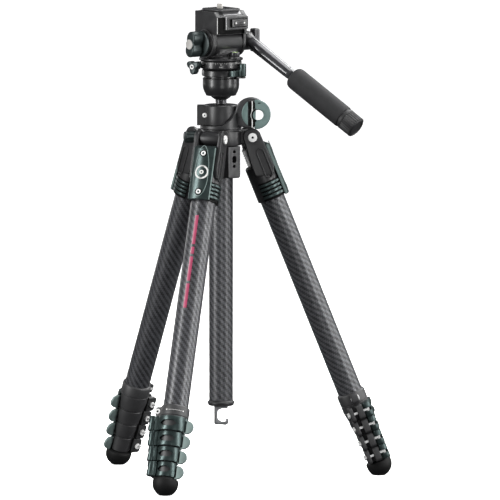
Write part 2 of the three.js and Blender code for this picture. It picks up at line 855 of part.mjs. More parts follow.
function plateClamp() {
  const profile = shapeOf([
    [-BLOCK_DEPTH, BLOCK_BOTTOM],
    [BLOCK_DEPTH, BLOCK_BOTTOM],
    [BLOCK_DEPTH, BLOCK_TOP - 5],
    [BLOCK_DEPTH - 5, BLOCK_TOP],
    [-BLOCK_DEPTH, BLOCK_TOP],
  ]);
  const block = slabY(profile, -BLOCK_WIDTH, BLOCK_WIDTH);
  const cheekOutline = shapeOf([
    ...circlePoints(0, TILT_Z, CHEEK_R, 180, 360, 16),
    [CHEEK_R, BLOCK_BOTTOM + 1],
    [-CHEEK_R, BLOCK_BOTTOM + 1],
  ]);
  const cheeks = join(slabY(cheekOutline, -21.4, -17.1), slabY(cheekOutline, 17.1, 20.6));
  const rosette = rod(9.5, 1.6, [0, 20.4, TILT_Z], "y", MEDIUM);
  const collar = rod(12.4, 1.6, [0, -22.8, TILT_Z], "y", FINE);
  const drumClearance = rod(DRUM_R + GAP, 34.2, [0, -17.1, TILT_Z], "y", FINE);
  const axleHole = rod(AXLE_R + GAP, 80, [0, -40, TILT_Z], "y", MEDIUM);
  const lockFrame = box(BLOCK_DEPTH - 1, BLOCK_DEPTH + 2, -7.5, BLOCK_WIDTH, 452, 464.6);
  const undercut = box(8, BLOCK_DEPTH + 3, -16.2, 16.2, BLOCK_BOTTOM - 2, 451.6);
  const lockPocket = box(BLOCK_DEPTH - 0.6, BLOCK_DEPTH + 6, -5.8, 17.6, 454.2, 462.6);
  const groove = dovetail(12.9, 14.2, 465.9, BLOCK_TOP + 1, -30, 30);
  const body = join(block, cheeks, rosette, collar, lockFrame);
  return cut(body, drumClearance, axleHole, undercut, lockPocket, groove);
}

// A channel or tongue along x, wider at the bottom than at the top.
function dovetail(top, bottom, z0, z1, x0, x1) {
  return slabX(shapeOf([[-bottom, z0], [bottom, z0], [top, z1], [-top, z1]]), x0, x1);
}

function lockButton() {
  const bar = box(BLOCK_DEPTH - 0.3, BLOCK_DEPTH + 2.6, -1.6, 17.2, 454.6, 462.2);
  const grip = box(BLOCK_DEPTH + 2, BLOCK_DEPTH + 3.6, 1, 14.6, 456.2, 460.6);
  return join(bar, grip);
}

function cameraPlate() {
  const tongue = dovetail(12.6, 13.8, 466.2, BLOCK_TOP + 0.4, -16.5, 16.5);
  const pad = slabZ(roundedBox(15, 15, 5.5), BLOCK_TOP + 0.3, BLOCK_TOP + 2.6);
  const shankHole = rod(3.5, 20, [0, -1.5, 460], "z", MEDIUM);
  const headRecess = rod(7.4, 9.2, [0, -1.5, 460], "z", MEDIUM);
  return cut(join(tongue, pad), shankHole, headRecess);
}

function cameraScrew() {
  return join(
    rod(7.1, 2, [0, -1.5, 466.7], "z", MEDIUM),
    rod(3.1, 10.2, [0, -1.5, 466.7], "z", MEDIUM),
  );
}

head.add(mesh("head_body", headBody(), COLORS.cast));
head.add(mesh("bubble_level", bubbleLevel(), COLORS.vial));
head.add(mesh("tilt_knob", tiltKnob(), COLORS.green));
head.add(mesh("plate_clamp", plateClamp(), COLORS.black));
head.add(mesh("plate_lock_button", lockButton(), COLORS.black));
head.add(mesh("camera_plate", cameraPlate(), COLORS.cast));
head.add(mesh("camera_screw", cameraScrew(), COLORS.steel));

const knobHolder = new THREE.Group();
knobHolder.position.set(KNOB_AT.x, KNOB_AT.y, KNOB_AT.z);
knobHolder.rotation.z = rad(KNOB_TURN);
crown.add(knobHolder);
knobHolder.add(mesh("pan_lock_knob", panLockKnob(), COLORS.green));
const knobScrewHole = rod(2.3, 12, [-7, 0, 0], "x", COARSE)
  .rotate([0, 0, KNOB_TURN])
  .translate([KNOB_AT.x, KNOB_AT.y, KNOB_AT.z]);
crown.add(mesh("pan_base", cut(panBase(), knobScrewHole), COLORS.cast));

// ---- pan handle: z along the handle, from the rosette outward ----

function handleShaft() {
  return lathe(
    [
      [0, -3],
      [6.6, -3],
      [6.5, 20],
      [5.6, 58],
      [4, 62],
      [4, 128],
      [0, 128],
    ],
    MEDIUM,
  );
}

function handleGrip() {
  return cut(
    lathe(
      [
        [0, 62.3],
        [8, 62.3],
        [10.8, 64.6],
        [11.5, 68],
        [11.5, 132],
        [10.4, 132.6],
        [10.4, 134],
        [10.9, 134.6],
        [10.9, 149],
        [9.6, 150.4],
        [0, 150.4],
      ],
      MEDIUM,
    ),
    rod(4.3, 68.5, [0, 0, 60], "z", MEDIUM),
  );
}

// The shaft with its rosette, in the head's axes.
function handleArm() {
  const shaft = handleShaft()
    .rotate([0, 90 + HANDLE_DOWN, HANDLE_OUT])
    .translate(HANDLE_START);
  const rosette = rod(9.5, 13.4, [0, 22.6, TILT_Z], "y", MEDIUM);
  const screwHole = rod(2.9, 20, [0, 25.2, TILT_Z], "y", COARSE);
  return cut(join(shaft, rosette), screwHole);
}

function clampKnob() {
  const bar = slabY(roundedBox(4.2, 11.6, 1.8), 40.2, 47).translate([0, 0, TILT_Z]);
  const neck = rod(4, 4.2, [0, 36.4, TILT_Z], "y", COARSE);
  const screw = rod(2.6, 12, [0, 25.6, TILT_Z], "y", COARSE);
  return join(bar, neck, screw);
}

const handleFrame = new THREE.Group();
handleFrame.position.set(...HANDLE_START);
handleFrame.rotation.order = "ZYX";
handleFrame.rotation.z = rad(HANDLE_OUT);
handleFrame.rotation.y = rad(90 + HANDLE_DOWN);
head.add(handleFrame);
head.add(mesh("handle_arm", handleArm(), COLORS.cast));
head.add(mesh("handle_clamp_knob", clampKnob(), COLORS.black));
handleFrame.add(mesh("handle_grip", handleGrip(), COLORS.foam));

// The frame's origin is the centre of the bounding box's base.
tripod.updateMatrixWorld(true);
const bounds = new THREE.Box3().setFromObject(tripod, true);
const centre = bounds.getCenter(new THREE.Vector3());
tripod.position.set(-centre.x, -centre.y, -bounds.min.z);

const assembly = new THREE.Group();
assembly.name = "assembly";
assembly.add(tripod);

export default assembly;
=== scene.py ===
import json
import math

import bmesh
import bpy
from mathutils import Matrix, Vector
from mathutils.geometry import tessellate_polygon


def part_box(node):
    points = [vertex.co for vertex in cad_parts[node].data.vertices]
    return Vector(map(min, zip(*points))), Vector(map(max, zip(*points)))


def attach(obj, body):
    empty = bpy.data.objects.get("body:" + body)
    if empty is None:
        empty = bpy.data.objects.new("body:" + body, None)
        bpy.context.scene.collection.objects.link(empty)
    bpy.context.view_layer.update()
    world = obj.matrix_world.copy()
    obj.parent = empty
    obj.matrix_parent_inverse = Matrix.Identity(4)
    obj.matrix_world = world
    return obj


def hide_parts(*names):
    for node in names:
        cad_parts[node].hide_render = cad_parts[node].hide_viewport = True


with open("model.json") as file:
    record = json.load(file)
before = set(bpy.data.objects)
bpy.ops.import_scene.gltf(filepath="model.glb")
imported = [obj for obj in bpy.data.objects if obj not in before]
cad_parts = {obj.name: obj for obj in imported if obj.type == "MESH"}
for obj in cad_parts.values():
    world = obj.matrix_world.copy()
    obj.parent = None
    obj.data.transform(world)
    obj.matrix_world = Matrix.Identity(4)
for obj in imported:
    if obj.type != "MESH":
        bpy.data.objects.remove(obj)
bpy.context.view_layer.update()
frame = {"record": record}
joints = {j["name"]: j for j in frame["record"]["behaviour"]["joints"]}
scene = bpy.context.scene

# Shapes are written in millimetres, in the axes of the group they belong to, and scaled when placed.
MM = 0.001

# Legs: heights are measured along a leg, downwards from its hinge pin.
LEGS = ("front", "right", "left")
TUBE_X = -2.5  # tube axis, outward of the hinge pin
SECTION_R = (12.5, 11, 9.5, 8, 6.5)
SECTION_TOP = (32, 36, 40, 44, 48)
COLLAR_R = (14.3, 12.6, 11.1, 9.6)
STAGE_TOP = 290.3
STAGE_PITCH = 15.5
STAGE_HEIGHT = 15.1
RING_TOP = 277.8
FOOT_R = 13
FOOT_CENTRE = 356.8
HUB_X = 7.9  # lever pivot, outward of the tube axis
LEVER_END = 74  # angle up to which a lever wraps its collar
THREAD = 1.7  # width of a carbon thread
COVER_CURVE = 22  # radius of the cover plate's face
EMBLEM = (0.6, -38.7)  # centre of the cover's round inset
LATCH_PIN = (-8.2, -24)

# Crown and head
HINGE_R = 29.4
HINGE_Z = 343.3
CROWN_TURN = 20
LEG_ANGLES = (-90, 30, 150)
HEAD_TURN = -31
TILT_Z = 438
BALL_R = 13.7
BALL_Z = 393.2
LOCK_PIN = (30, -16.5)  # pivot of the column lock lever
LOCK_KNUCKLES = ((355.6, 362.2), (373, 379.5))
LOCK_HOLE = (37.2, 366.6)
CROWN_KNOB_Z = 343.6
CROWN_KNOB_TURN = -150
VIAL_AT = (20.5, 1.5)
SCREW_AT = (0, -1.5)  # camera screw
SMOOTH_ANGLE = 34


# ---- outlines ----

def cos(degrees):
    return math.cos(math.radians(degrees))


def sin(degrees):
    return math.sin(math.radians(degrees))


def polar(r, degrees, x=0, y=0):
    return x + r * cos(degrees), y + r * sin(degrees)


def arc(x, y, r, start, stop, steps=16):
    return [polar(r, start + (stop - start) * i / steps, x, y) for i in range(steps + 1)]


def circle(x, y, r, steps=48):
    return arc(x, y, r, 0, 360, steps)[:-1]


def rounded(points, steps=5):
    """Corners given as (x, y, radius) become arcs."""
    loop = []
    for i, point in enumerate(points):
        corner = Vector(point[:2])
        radius = point[2] if len(point) > 2 else 0
        if radius <= 0:
            loop.append(tuple(corner))
            continue
        before = (Vector(points[i - 1][:2]) - corner).normalized()
        after = (Vector(points[(i + 1) % len(points)][:2]) - corner).normalized()
        half = before.angle(after) / 2
        centre = corner + (before + after).normalized() * radius / math.sin(half)
        first = corner + before * radius / math.tan(half) - centre
        last = corner + after * radius / math.tan(half) - centre
        sweep = math.atan2(first.x * last.y - first.y * last.x, first.dot(last))
        for k in range(steps + 1):
            loop.append(tuple(centre + Matrix.Rotation(sweep * k / steps, 2) @ first))
    return loop


def rectangle(x0, x1, y0, y1, radius=0.5, steps=3):
    return rounded([(x0, y0, radius), (x1, y0, radius), (x1, y1, radius), (x0, y1, radius)], steps)


def lobed(mean, depth, count, steps, turn=0, y=0):
    """A closed outline whose radius swings count times by depth; turn is the angle of one crest."""
    angles = [360 * i / steps for i in range(steps)]
    return [polar(mean + depth * cos(count * (a - turn)), a, y=y) for a in angles]


def capsule(x, y0, y1, r, steps=10):
    """An upright slot with round ends."""
    return arc(x, y0, r, 180, 360, steps) + arc(x, y1, r, 0, 180, steps)


def area(loop):
    return sum(
        loop[i - 1][0] * p[1] - p[0] * loop[i - 1][1] for i, p in enumerate(loop)
    ) / 2


def shrunk(loop, distance):
    """Each point moved towards the left of its edges."""
    if distance == 0:
        return loop
    out = []
    for i, p in enumerate(loop):
        here = Vector(p)
        into = (here - Vector(loop[i - 1])).normalized()
        away = (Vector(loop[(i + 1) % len(loop)]) - here).normalized()
        n1 = Vector((-into.y, into.x))
        n2 = Vector((-away.y, away.x))
        middle = n1 + n2
        middle = middle.normalized() if middle.length > 1e-6 else n1
        out.append(tuple(here + middle * distance / max(0.4, middle.dot(n1))))
    return out


# ---- shells: (vertices, faces, uvs, material index), one closed surface each ----

def lathe(profile, steps=72, start=0, stop=360, mat=0, weave=False):
    """Turns (radius, height) pairs about z. A profile that starts off the axis is a closed ring."""
    full = stop - start >= 360
    columns = steps if full else steps + 1
    ring = profile[0][0] > 1e-9
    largest = max(r for r, _ in profile)
    turns = 4 * round(2 * math.pi * largest / (4 * THREAD))
    lengths = [0]
    for (r0, z0), (r1, z1) in zip(profile, profile[1:] + profile[:1]):
        lengths.append(lengths[-1] + math.hypot(r1 - r0, z1 - z0) / THREAD)
    verts, index = [], []
    for c in range(columns):
        a = start + (stop - start) * c / steps
        row = []
        for j, (r, z) in enumerate(profile):
            if r < 1e-9 and c:
                row.append(index[0][j])
            else:
                row.append(len(verts))
                verts.append((*polar(r, a), z))
        index.append(row)
    faces, uvs = [], []
    for c in range(steps):
        a, b = index[c], index[(c + 1) % columns]
        for j in range(len(profile) if ring else len(profile) - 1):
            k = (j + 1) % len(profile)
            u0, u1 = turns * c / steps, turns * (c + 1) / steps
            v0, v1 = lengths[j], lengths[j + 1]
            corners = [(a[j], (u0, v0)), (b[j], (u1, v0)), (b[k], (u1, v1)), (a[k], (u0, v1))]
            kept = []
            for vert, uv in corners:
                if vert not in [other for other, _ in kept]:
                    kept.append((vert, uv))
            if len(kept) > 2:
                faces.append([vert for vert, _ in kept])
                uvs.append([uv for _, uv in kept] if weave else None)
    if not full:
        faces += [index[0], index[-1][::-1]]
        uvs += [None, None]
    return verts, faces, uvs, mat


AXES = {
    "z": lambda a, b, c: (a, b, c),
    "y": lambda a, b, c: (a, c, b),
    "x": lambda a, b, c: (c, a, b),
}


def slab(outline, low, high, holes=(), bevel=0.4, axis="z", mat=0):
    """An outline with rounded edges, from low to high along axis; x takes (y, z) pairs, y takes (x, z)."""
    loops = [outline if area(outline) > 0 else outline[::-1]]
    loops += [h if area(h) < 0 else h[::-1] for h in holes]
    place = AXES[axis]
    steps = 3 if bevel else 0
    levels = []
    for i in range(steps + 1):
        t = math.pi / 2 * i / max(1, steps)
        levels.append((bevel * (1 - math.sin(t)), bevel * (1 - math.cos(t))))
    rings = [(d, low + h) for d, h in levels] + [(d, high - h) for d, h in levels[::-1]]
    verts, faces, starts = [], [], []
    for loop in loops:
        starts.append(len(verts))
        n = len(loop)
        for distance, level in rings:
            verts += [place(x, y, level) for x, y in shrunk(loop, distance)]
        base = starts[-1]
        for r in range(len(rings) - 1):
            for i in range(n):
                k = (i + 1) % n
                faces.append(
                    [base + r * n + i, base + r * n + k, base + (r + 1) * n + k, base + (r + 1) * n + i]
                )
    for ring in (0, len(rings) - 1):
        distance = rings[ring][0]
        flat = [[Vector((x, y, 0)) for x, y in shrunk(loop, distance)] for loop in loops]
        numbers = [s + ring * len(loop) + i for s, loop in zip(starts, loops) for i in range(len(loop))]
        faces += [[numbers[i] for i in tri] for tri in tessellate_polygon(flat)]
    return verts, faces, [None] * len(faces), mat


def moved(shell, matrix):
    verts, faces, uvs, mat = shell
    return [tuple(matrix @ Vector(v)) for v in verts], faces, uvs, mat


def shift(x=0, y=0, z=0):
    return Matrix.Translation((x, y, z))


def spin(angle, axis="Z"):
    return Matrix.Rotation(math.radians(angle), 4, axis)


def rod(radius, low, high, at=(0, 0), axis="z", bevel=0.3, hole=0, steps=40, mat=0):
    profile = [
        (hole, low),
        (radius - bevel, low),
        (radius - bevel * 0.3, low + bevel * 0.3),
        (radius, low + bevel),
        (radius, high - bevel),
        (radius - bevel * 0.3, high - bevel * 0.3),
        (radius - bevel, high),
        (hole, high),
    ]
    verts, faces, uvs, mat = lathe(profile, steps, mat=mat)
    place = AXES[axis]
    return [place(x + at[0], y + at[1], z) for x, y, z in verts], faces, uvs, mat


def block(x0, x1, y0, y1, z0, z1, bevel=0.4, mat=0):
    return slab(rectangle(x0, x1, y0, y1, max(bevel, 0.05)), z0, z1, bevel=bevel, mat=mat)


def socket_screw(radius, low, high, at, axis, facing=1, mat=0, socket=0.5):
    """A screw head with a hexagonal recess. Its floor takes the material after mat, a dark colour that
    paints the shade in the recess.
    """
    hexagon = circle(at[0], at[1], radius * socket, 6)
    tool = circle(at[0], at[1], radius, 40)
    depth = (high - low) * 0.55
    if facing > 0:
        rim = slab(tool, high - depth, high, [hexagon], min(0.3, radius * 0.14), axis, mat)
        base = slab(tool, low, high - depth + 0.02, (), 0.05, axis, mat)
    else:
        rim = slab(tool, low, low + depth, [hexagon], min(0.3, radius * 0.14), axis, mat)
        base = slab(tool, low + depth - 0.02, high, (), 0.05, axis, mat)
    floor_at = high - depth if facing > 0 else low + depth
    # The dark floor is painted shade at the bottom of the hexagon recess.
    dark = slab(shrunk(hexagon, 0.04), floor_at - 0.1, floor_at + 0.1, (), 0.02, axis, mat + 1)
    return [rim, base, dark]


def washer(at, radius, hole, low, high, bevel, axis="z", mat=0, steps=48):
    return slab(circle(*at, radius, steps), low, high, [circle(*at, hole, steps)], bevel, axis, mat)


def tube_along(points, radius, steps=12, mat=0):
    """A round wire through points, closed at both ends."""
    path = [Vector(p) for p in points]
    verts, faces = [], []
    side = None
    for i, p in enumerate(path):
        ahead = path[min(i + 1, len(path) - 1)] - path[max(i - 1, 0)]
        ahead.normalize()
        if side is None:
            side = ahead.orthogonal().normalized()
        side = (side - ahead * side.dot(ahead)).normalized()
        other = ahead.cross(side)
        for k in range(steps):
            a = 2 * math.pi * k / steps
            verts.append(tuple(p + radius * (math.cos(a) * side + math.sin(a) * other)))
    for i in range(len(path) - 1):
        for k in range(steps):
            m = (k + 1) % steps
            faces.append([i * steps + k, i * steps + m, (i + 1) * steps + m, (i + 1) * steps + k])
    faces += [list(range(steps))[::-1], [(len(path) - 1) * steps + k for k in range(steps)]]
    return verts, faces, [None] * len(faces), mat


# ---- pieces ----

def mesh_of(name, shells):
    bm = bmesh.new()
    layer = bm.loops.layers.uv.new("UVMap")
    for verts, faces, uvs, mat in shells:
        made = [bm.verts.new(v) for v in verts]
        for face, uv in zip(faces, uvs):
            f = bm.faces.new([made[i] for i in face])
            f.material_index = mat
            if uv:
                for loop, value in zip(f.loops, uv):
                    loop[layer].uv = value
    bmesh.ops.recalc_face_normals(bm, faces=bm.faces)
    mesh = bpy.data.meshes.new(name)
    bm.to_mesh(mesh)
    bm.free()
    return mesh


def new_object(name, data):
    obj = bpy.data.objects.new(name, data)
    scene.collection.objects.link(obj)
    return obj


def carve(obj, cutters):
    """Cuts the shells away."""
    tool_mesh = mesh_of("tool", cutters)
    tool = new_object("tool", tool_mesh)
    modifier = obj.modifiers.new("cut", "BOOLEAN")
    modifier.operation = "DIFFERENCE"
    modifier.solver = "EXACT"
    modifier.use_self = True
    modifier.object = tool
    graph = bpy.context.evaluated_depsgraph_get()
    cut = bpy.data.meshes.new_from_object(obj.evaluated_get(graph))
    obj.modifiers.clear()
    before = obj.data
    obj.data = cut
    bpy.data.meshes.remove(before)
    bpy.data.objects.remove(tool)
    bpy.data.meshes.remove(tool_mesh)


def piece(name, shells, materials, place, body, nodes=(), cuts=()):
    flat = []
    for shell in shells:
        flat += shell if isinstance(shell, list) else [shell]
    obj = bpy.data.objects.new(name, mesh_of(name, flat))
    for material in materials:
        obj.data.materials.append(material)
    scene.collection.objects.link(obj)
    if cuts:
        carve(obj, list(cuts))
    obj.data.transform(place)
    for polygon in obj.data.polygons:
        polygon.use_smooth = True
    obj.data.set_sharp_from_angle(angle=math.radians(SMOOTH_ANGLE))
    obj.data.update()
    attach(obj, body)
    if nodes:
        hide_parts(*nodes)
    return obj


# ---- materials ----

def linear(r, g, b):
    return tuple(
        (c / 255 / 12.92) if c <= 10 else ((c / 255 + 0.055) / 1.055) ** 2.4 for c in (r, g, b)
    ) + (1,)


def fill(node, values):
    for name, value in values.items():
        node.inputs[name].default_value = value


class Nodes:
    def __init__(self, name):
        self.material = bpy.data.materials.new(name)
        self.material.use_nodes = True
        self.tree = self.material.node_tree
        self.tree.nodes.clear()
        self.shader = self.add("ShaderNodeBsdfPrincipled")
        output = self.add("ShaderNodeOutputMaterial")
        self.link(self.shader.outputs["BSDF"], output.inputs["Surface"])

    def add(self, kind, **settings):
        node = self.tree.nodes.new(kind)
        for key, value in settings.items():
            setattr(node, key, value)
        return node

    def link(self, source, target):
        self.tree.links.new(source, target)

    def place(self, kind="Object"):
        return self.add("ShaderNodeTexCoord").outputs[kind]

    def drive(self, name, source):
        self.link(source, self.shader.inputs[name])

    def math(self, operation, a, b=None):
        node = self.add("ShaderNodeMath", operation=operation)
        for socket, value in zip(node.inputs, (a, b)):
            if isinstance(value, (int, float)):
                socket.default_value = value
            elif value is not None:
                self.link(value, socket)
        return node.outputs[0]

    def noise(self, coordinates, scale, detail=2.0, rough=0.5):
        node = self.add("ShaderNodeTexNoise")
        fill(node, {"Scale": scale, "Detail": detail, "Roughness": rough})
        self.link(coordinates, node.inputs["Vector"])
        return node.outputs["Fac"]

    def spread(self, value, low, high, start=0.3, stop=0.7):
        node = self.add("ShaderNodeMapRange")
        fill(node, {"From Min": start, "From Max": stop, "To Min": low, "To Max": high})
        self.link(value, node.inputs["Value"])
        return node.outputs["Result"]

    def mix(self, factor, a, b):
        node = self.add("ShaderNodeMix", data_type="RGBA")
        if isinstance(factor, (int, float)):
            node.inputs["Factor"].default_value = factor
        else:
            self.link(factor, node.inputs["Factor"])
        for name, value in (("A", a), ("B", b)):
            socket = next(s for s in node.inputs if s.name == name and s.type == "RGBA")
            if isinstance(value, tuple):
                socket.default_value = value
            else:
                self.link(value, socket)
        return next(s for s in node.outputs if s.type == "RGBA")

    def bump(self, height, strength, distance=0.0001):
        node = self.add("ShaderNodeBump")
        fill(node, {"Strength": strength, "Distance": distance})
        self.link(height, node.inputs["Height"])
        self.drive("Normal", node.outputs["Normal"])


def shade(color, factor):
    return tuple(min(1, c * factor) for c in color[:3]) + (1,)


def surface(
    name, color, rough, metallic=0.0, coat=0.0, grain=3000, bump=0.1, mottle=0.12, brushed=None,
    specular=0.5
):
    """Coated, moulded or machined surface: fine grain, uneven gloss and slow colour variation."""
    n = Nodes(name)
    place = n.place()
    fine_place = place
    if brushed:
        mapping = n.add("ShaderNodeMapping")
        fill(mapping, {"Scale": brushed})
        n.link(place, mapping.inputs["Vector"])
        fine_place = mapping.outputs["Vector"]
    fine = n.noise(fine_place, grain, 3.0, 0.6)
    broad = n.noise(place, 130, 2.0)
    base = linear(*color)
    tint = n.mix(n.spread(broad, 0, 1), shade(base, 1 - mottle), shade(base, 1 + mottle))
    n.drive("Base Color", tint)
    wobble = n.math("ADD", n.math("MULTIPLY", fine, 0.5), n.math("MULTIPLY", broad, 0.5))
    n.drive("Roughness", n.spread(wobble, rough - 0.06, rough + 0.08))
    fill(n.shader, {"Metallic": metallic, "Specular IOR Level": specular})
    fill(n.shader, {"Coat Weight": coat, "Coat Roughness": 0.15})
    n.bump(fine, bump)
    return n.material


def carbon_weave():
    """Two-over-two twill: one UV unit is one thread."""
    n = Nodes("carbon_weave")
    separate = n.add("ShaderNodeSeparateXYZ")
    n.link(n.place("UV"), separate.inputs["Vector"])
    across, along = separate.outputs["X"], separate.outputs["Y"]
    steps = n.math("ADD", n.math("FLOOR", across), n.math("FLOOR", along))
    over = n.math("LESS_THAN", n.math("FLOORED_MODULO", steps, 4), 2)
    crown_across = n.math("SINE", n.math("MULTIPLY", n.math("FRACT", across), math.pi))
    crown_along = n.math("SINE", n.math("MULTIPLY", n.math("FRACT", along), math.pi))
    under = n.math("SUBTRACT", 1.0, over)
    height = n.math("ADD", n.math("MULTIPLY", over, crown_across), n.math("MULTIPLY", under, crown_along))
    tint = n.mix(over, linear(24, 24, 26), linear(90, 91, 95))
    uneven = n.noise(n.place(), 300, 3.0, 0.6)
    patchy = n.mix(n.spread(uneven, 0, 1, 0.36, 0.64), linear(26, 26, 28), linear(74, 75, 78))
    n.drive("Base Color", n.mix(0.58, patchy, tint))
    n.drive("Roughness", n.spread(over, 0.46, 0.36, 0, 1))
    fill(n.shader, {"Metallic": 0.2, "Coat Weight": 0.3, "Coat Roughness": 0.25})
    n.bump(height, 0.35, 0.0002)
    return n.material


CARBON = carbon_weave()
CAST = surface("cast_black_coat", (35, 35, 36), 0.4, grain=2600, bump=0.18)
# Lighter than the other satin blacks: painted sheen in place of the floor's reflection on the collars.
COLLAR = surface("collar_black_painted_sheen", (42, 42, 43), 0.5, grain=3500, bump=0.08, specular=0.7)
SILVER = surface("brushed_silver", (196, 194, 190), 0.4, 0.3, grain=1200, bump=0.12)
SATIN = surface("satin_black", (25, 25, 26), 0.34, grain=3500, bump=0.08, coat=0.15)
MACHINED = surface("machined_grey", (120, 120, 121), 0.3, 0.4, grain=900, bump=0.08, brushed=(1, 1, 8))
GREEN = surface("green_anodised", (60, 72, 71), 0.3, 0.65, grain=2400, bump=0.07)
GREEN_DARK = surface("green_dark_anodised", (50, 58, 58), 0.34, 0.5, grain=2400, bump=0.1)
# A lighter copy of the green anodising: painted highlight on the lever tabs, the cover's side strips and
# its outline.
GREEN_LIT = surface("green_anodised_painted_highlight", (122, 138, 135), 0.4, 0.3, grain=2400, bump=0.07)
LOCK_GREEN = surface("green_lock_anodised", (98, 118, 115), 0.36, 0.25, grain=2400, bump=0.07)
# Steel drawn as near-white, non-metallic paint: painted reflection on the screws, pins and the lock
# lever's edge line.
STEEL = surface("steel_painted_white_sheen", (240, 240, 238), 0.36, 0.0, grain=1500, bump=0.06)
SATIN_STEEL = surface("satin_steel", (120, 121, 122), 0.34, 0.6, grain=900, bump=0.08, brushed=(1, 1, 6))
NECK = surface("dark_steel", (58, 58, 60), 0.3, 0.6, grain=900, bump=0.08, brushed=(1, 1, 6))
HANDLE_GREY = surface("handle_grey", (62, 62, 65), 0.22, 0.3, grain=2000, bump=0.04, coat=0.5)
RUBBER = surface("foot_rubber", (14, 14, 14), 0.62, grain=900, bump=0.4, specular=0.25)
FOAM = surface("grip_foam", (40, 40, 41), 0.72, grain=1500, bump=0.8, mottle=0.2, specular=0.3)
CAP_RUBBER = surface("grip_cap_rubber", (21, 21, 22), 0.55, grain=1800, bump=0.25)
# Near-black: the colour of black parts, and also painted shade in grooves, gaps, socket floors and under
# the clamp block.
DARK = surface("black_and_painted_shade", (8, 8, 8), 0.7, grain=1500, bump=0.2, specular=0.1)
WHITE = surface("white_mark", (225, 225, 222), 0.5, grain=2500, bump=0.1, mottle=0.04)
DIM_MARK = surface("grey_mark", (168, 168, 166), 0.5, grain=2500, bump=0.1, mottle=0.04)
STRIPE = surface("stripe_red", (164, 50, 88), 0.4, grain=2500, bump=0.08, coat=0.2)
BARE_EDGE = surface("bare_edge", (196, 196, 194), 0.34, 0.2, grain=1200, bump=0.06)
PLATE = surface("plate_grey", (62, 62, 63), 0.42, 0.3, grain=1200, bump=0.2)
BRACKET = surface("bracket_grey", (56, 56, 57), 0.38, 0.3, grain=2200, bump=0.15)
BOSS = surface("boss_grey", (70, 70, 71), 0.3, 0.3, grain=2200, bump=0.12)


def vial_material():
    n = Nodes("vial_green_painted_glow")
    place = n.place()
    tint = n.mix(n.noise(place, 300), linear(172, 208, 120), linear(208, 232, 164))
    n.drive("Base Color", tint)
    n.drive("Roughness", n.spread(n.noise(place, 500), 0.05, 0.12))
    fill(n.shader, {"Transmission Weight": 0.35, "IOR": 1.49})
    # Emission makes the vial glow: painted light for the lit liquid.
    fill(n.shader, {"Emission Color": linear(150, 196, 96), "Emission Strength": 0.18})
    return n.material


VIAL = vial_material()

# ---- where the groups stand ----

low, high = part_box("column_tube")
column = (low + high) / 2


def about_column(angle):
    return (
        Matrix.Translation((column.x, column.y, 0))
        @ Matrix.Rotation(math.radians(angle), 4, "Z")
        @ Matrix.Scale(MM, 4)
    )


def leg_place(leg):
    fold = joints[f"leg_{leg}_fold"]
    y = -Vector(fold["axis"])
    z = -Vector(joints[f"leg_{leg}_section_2_extend"]["axis"])
    x = y.cross(z)
    turn = Matrix((x, y, z)).transposed().to_4x4()
    return Matrix.Translation(fold["pos_m"]) @ turn @ Matrix.Scale(MM, 4)


CROWN = about_column(CROWN_TURN)
HEAD = about_column(HEAD_TURN)

# ---- camera, floor and light: they are written first and the object follows ----

VIEW_AZIMUTH = 20
VIEW_ELEVATION = 5.85
VIEW_DISTANCE = 20
VIEW_WIDTH = 0.5
right = Vector((cos(VIEW_AZIMUTH), sin(VIEW_AZIMUTH), 0))
towards = Vector((right.y, -right.x, 0))


def aim(obj, position, target):
    obj.location = position
    obj.rotation_euler = (target - position).to_track_quat("-Z", "Y").to_euler()


camera_data = bpy.data.cameras.new("camera")
camera_data.sensor_width = 36
camera_data.lens = 36 * VIEW_DISTANCE / VIEW_WIDTH
camera_data.clip_start = 0.1
camera_data.clip_end = 100
camera = new_object("camera", camera_data)
scene.camera = camera
target = Vector((column.x, column.y, 0)) + right * 0.029 + Vector((0, 0, 0.2294))
aim(
    camera,
    target + VIEW_DISTANCE * (towards * cos(VIEW_ELEVATION) + Vector((0, 0, sin(VIEW_ELEVATION)))),
    target,
)


def softbox(name, azimuth, height, distance, width, tall, power):
    """azimuth is measured from the camera's direction, towards its right."""
    light = bpy.data.lights.new(name, "AREA")
    light.shape = "RECTANGLE"
    light.size = width
    light.size_y = tall
    light.energy = power
    obj = new_object(name, light)
    centre = Vector((column.x, column.y, 0.25))
    away = towards * cos(azimuth) + right * sin(azimuth)
    aim(obj, centre + away * distance + Vector((0, 0, height)), centre)


softbox("key_left", -60, 0.35, 1.5, 0.35, 1.3, 24)
softbox("key_right", 58, 0.35, 1.5, 0.3, 1.3, 17)
softbox("side_right", 98, 0.3, 1.5, 0.5, 1.2, 12)
softbox("top", 60, 1.6, 0.5, 1.2, 0.8, 18)
softbox("back_left", -140, 0.6, 1.5, 0.5, 1.2, 6)
softbox("back_right", 130, 1.15, 1.1, 1.2, 0.9, 27)
softbox("front", 8, -0.12, 1.5, 0.35, 0.55, 3)

world = bpy.data.worlds.new("studio")
scene.world = world
world.use_nodes = True
background = next(n for n in world.node_tree.nodes if n.type == "BACKGROUND")
fill(background, {"Color": (0.93, 0.95, 1.0, 1), "Strength": 0.1})

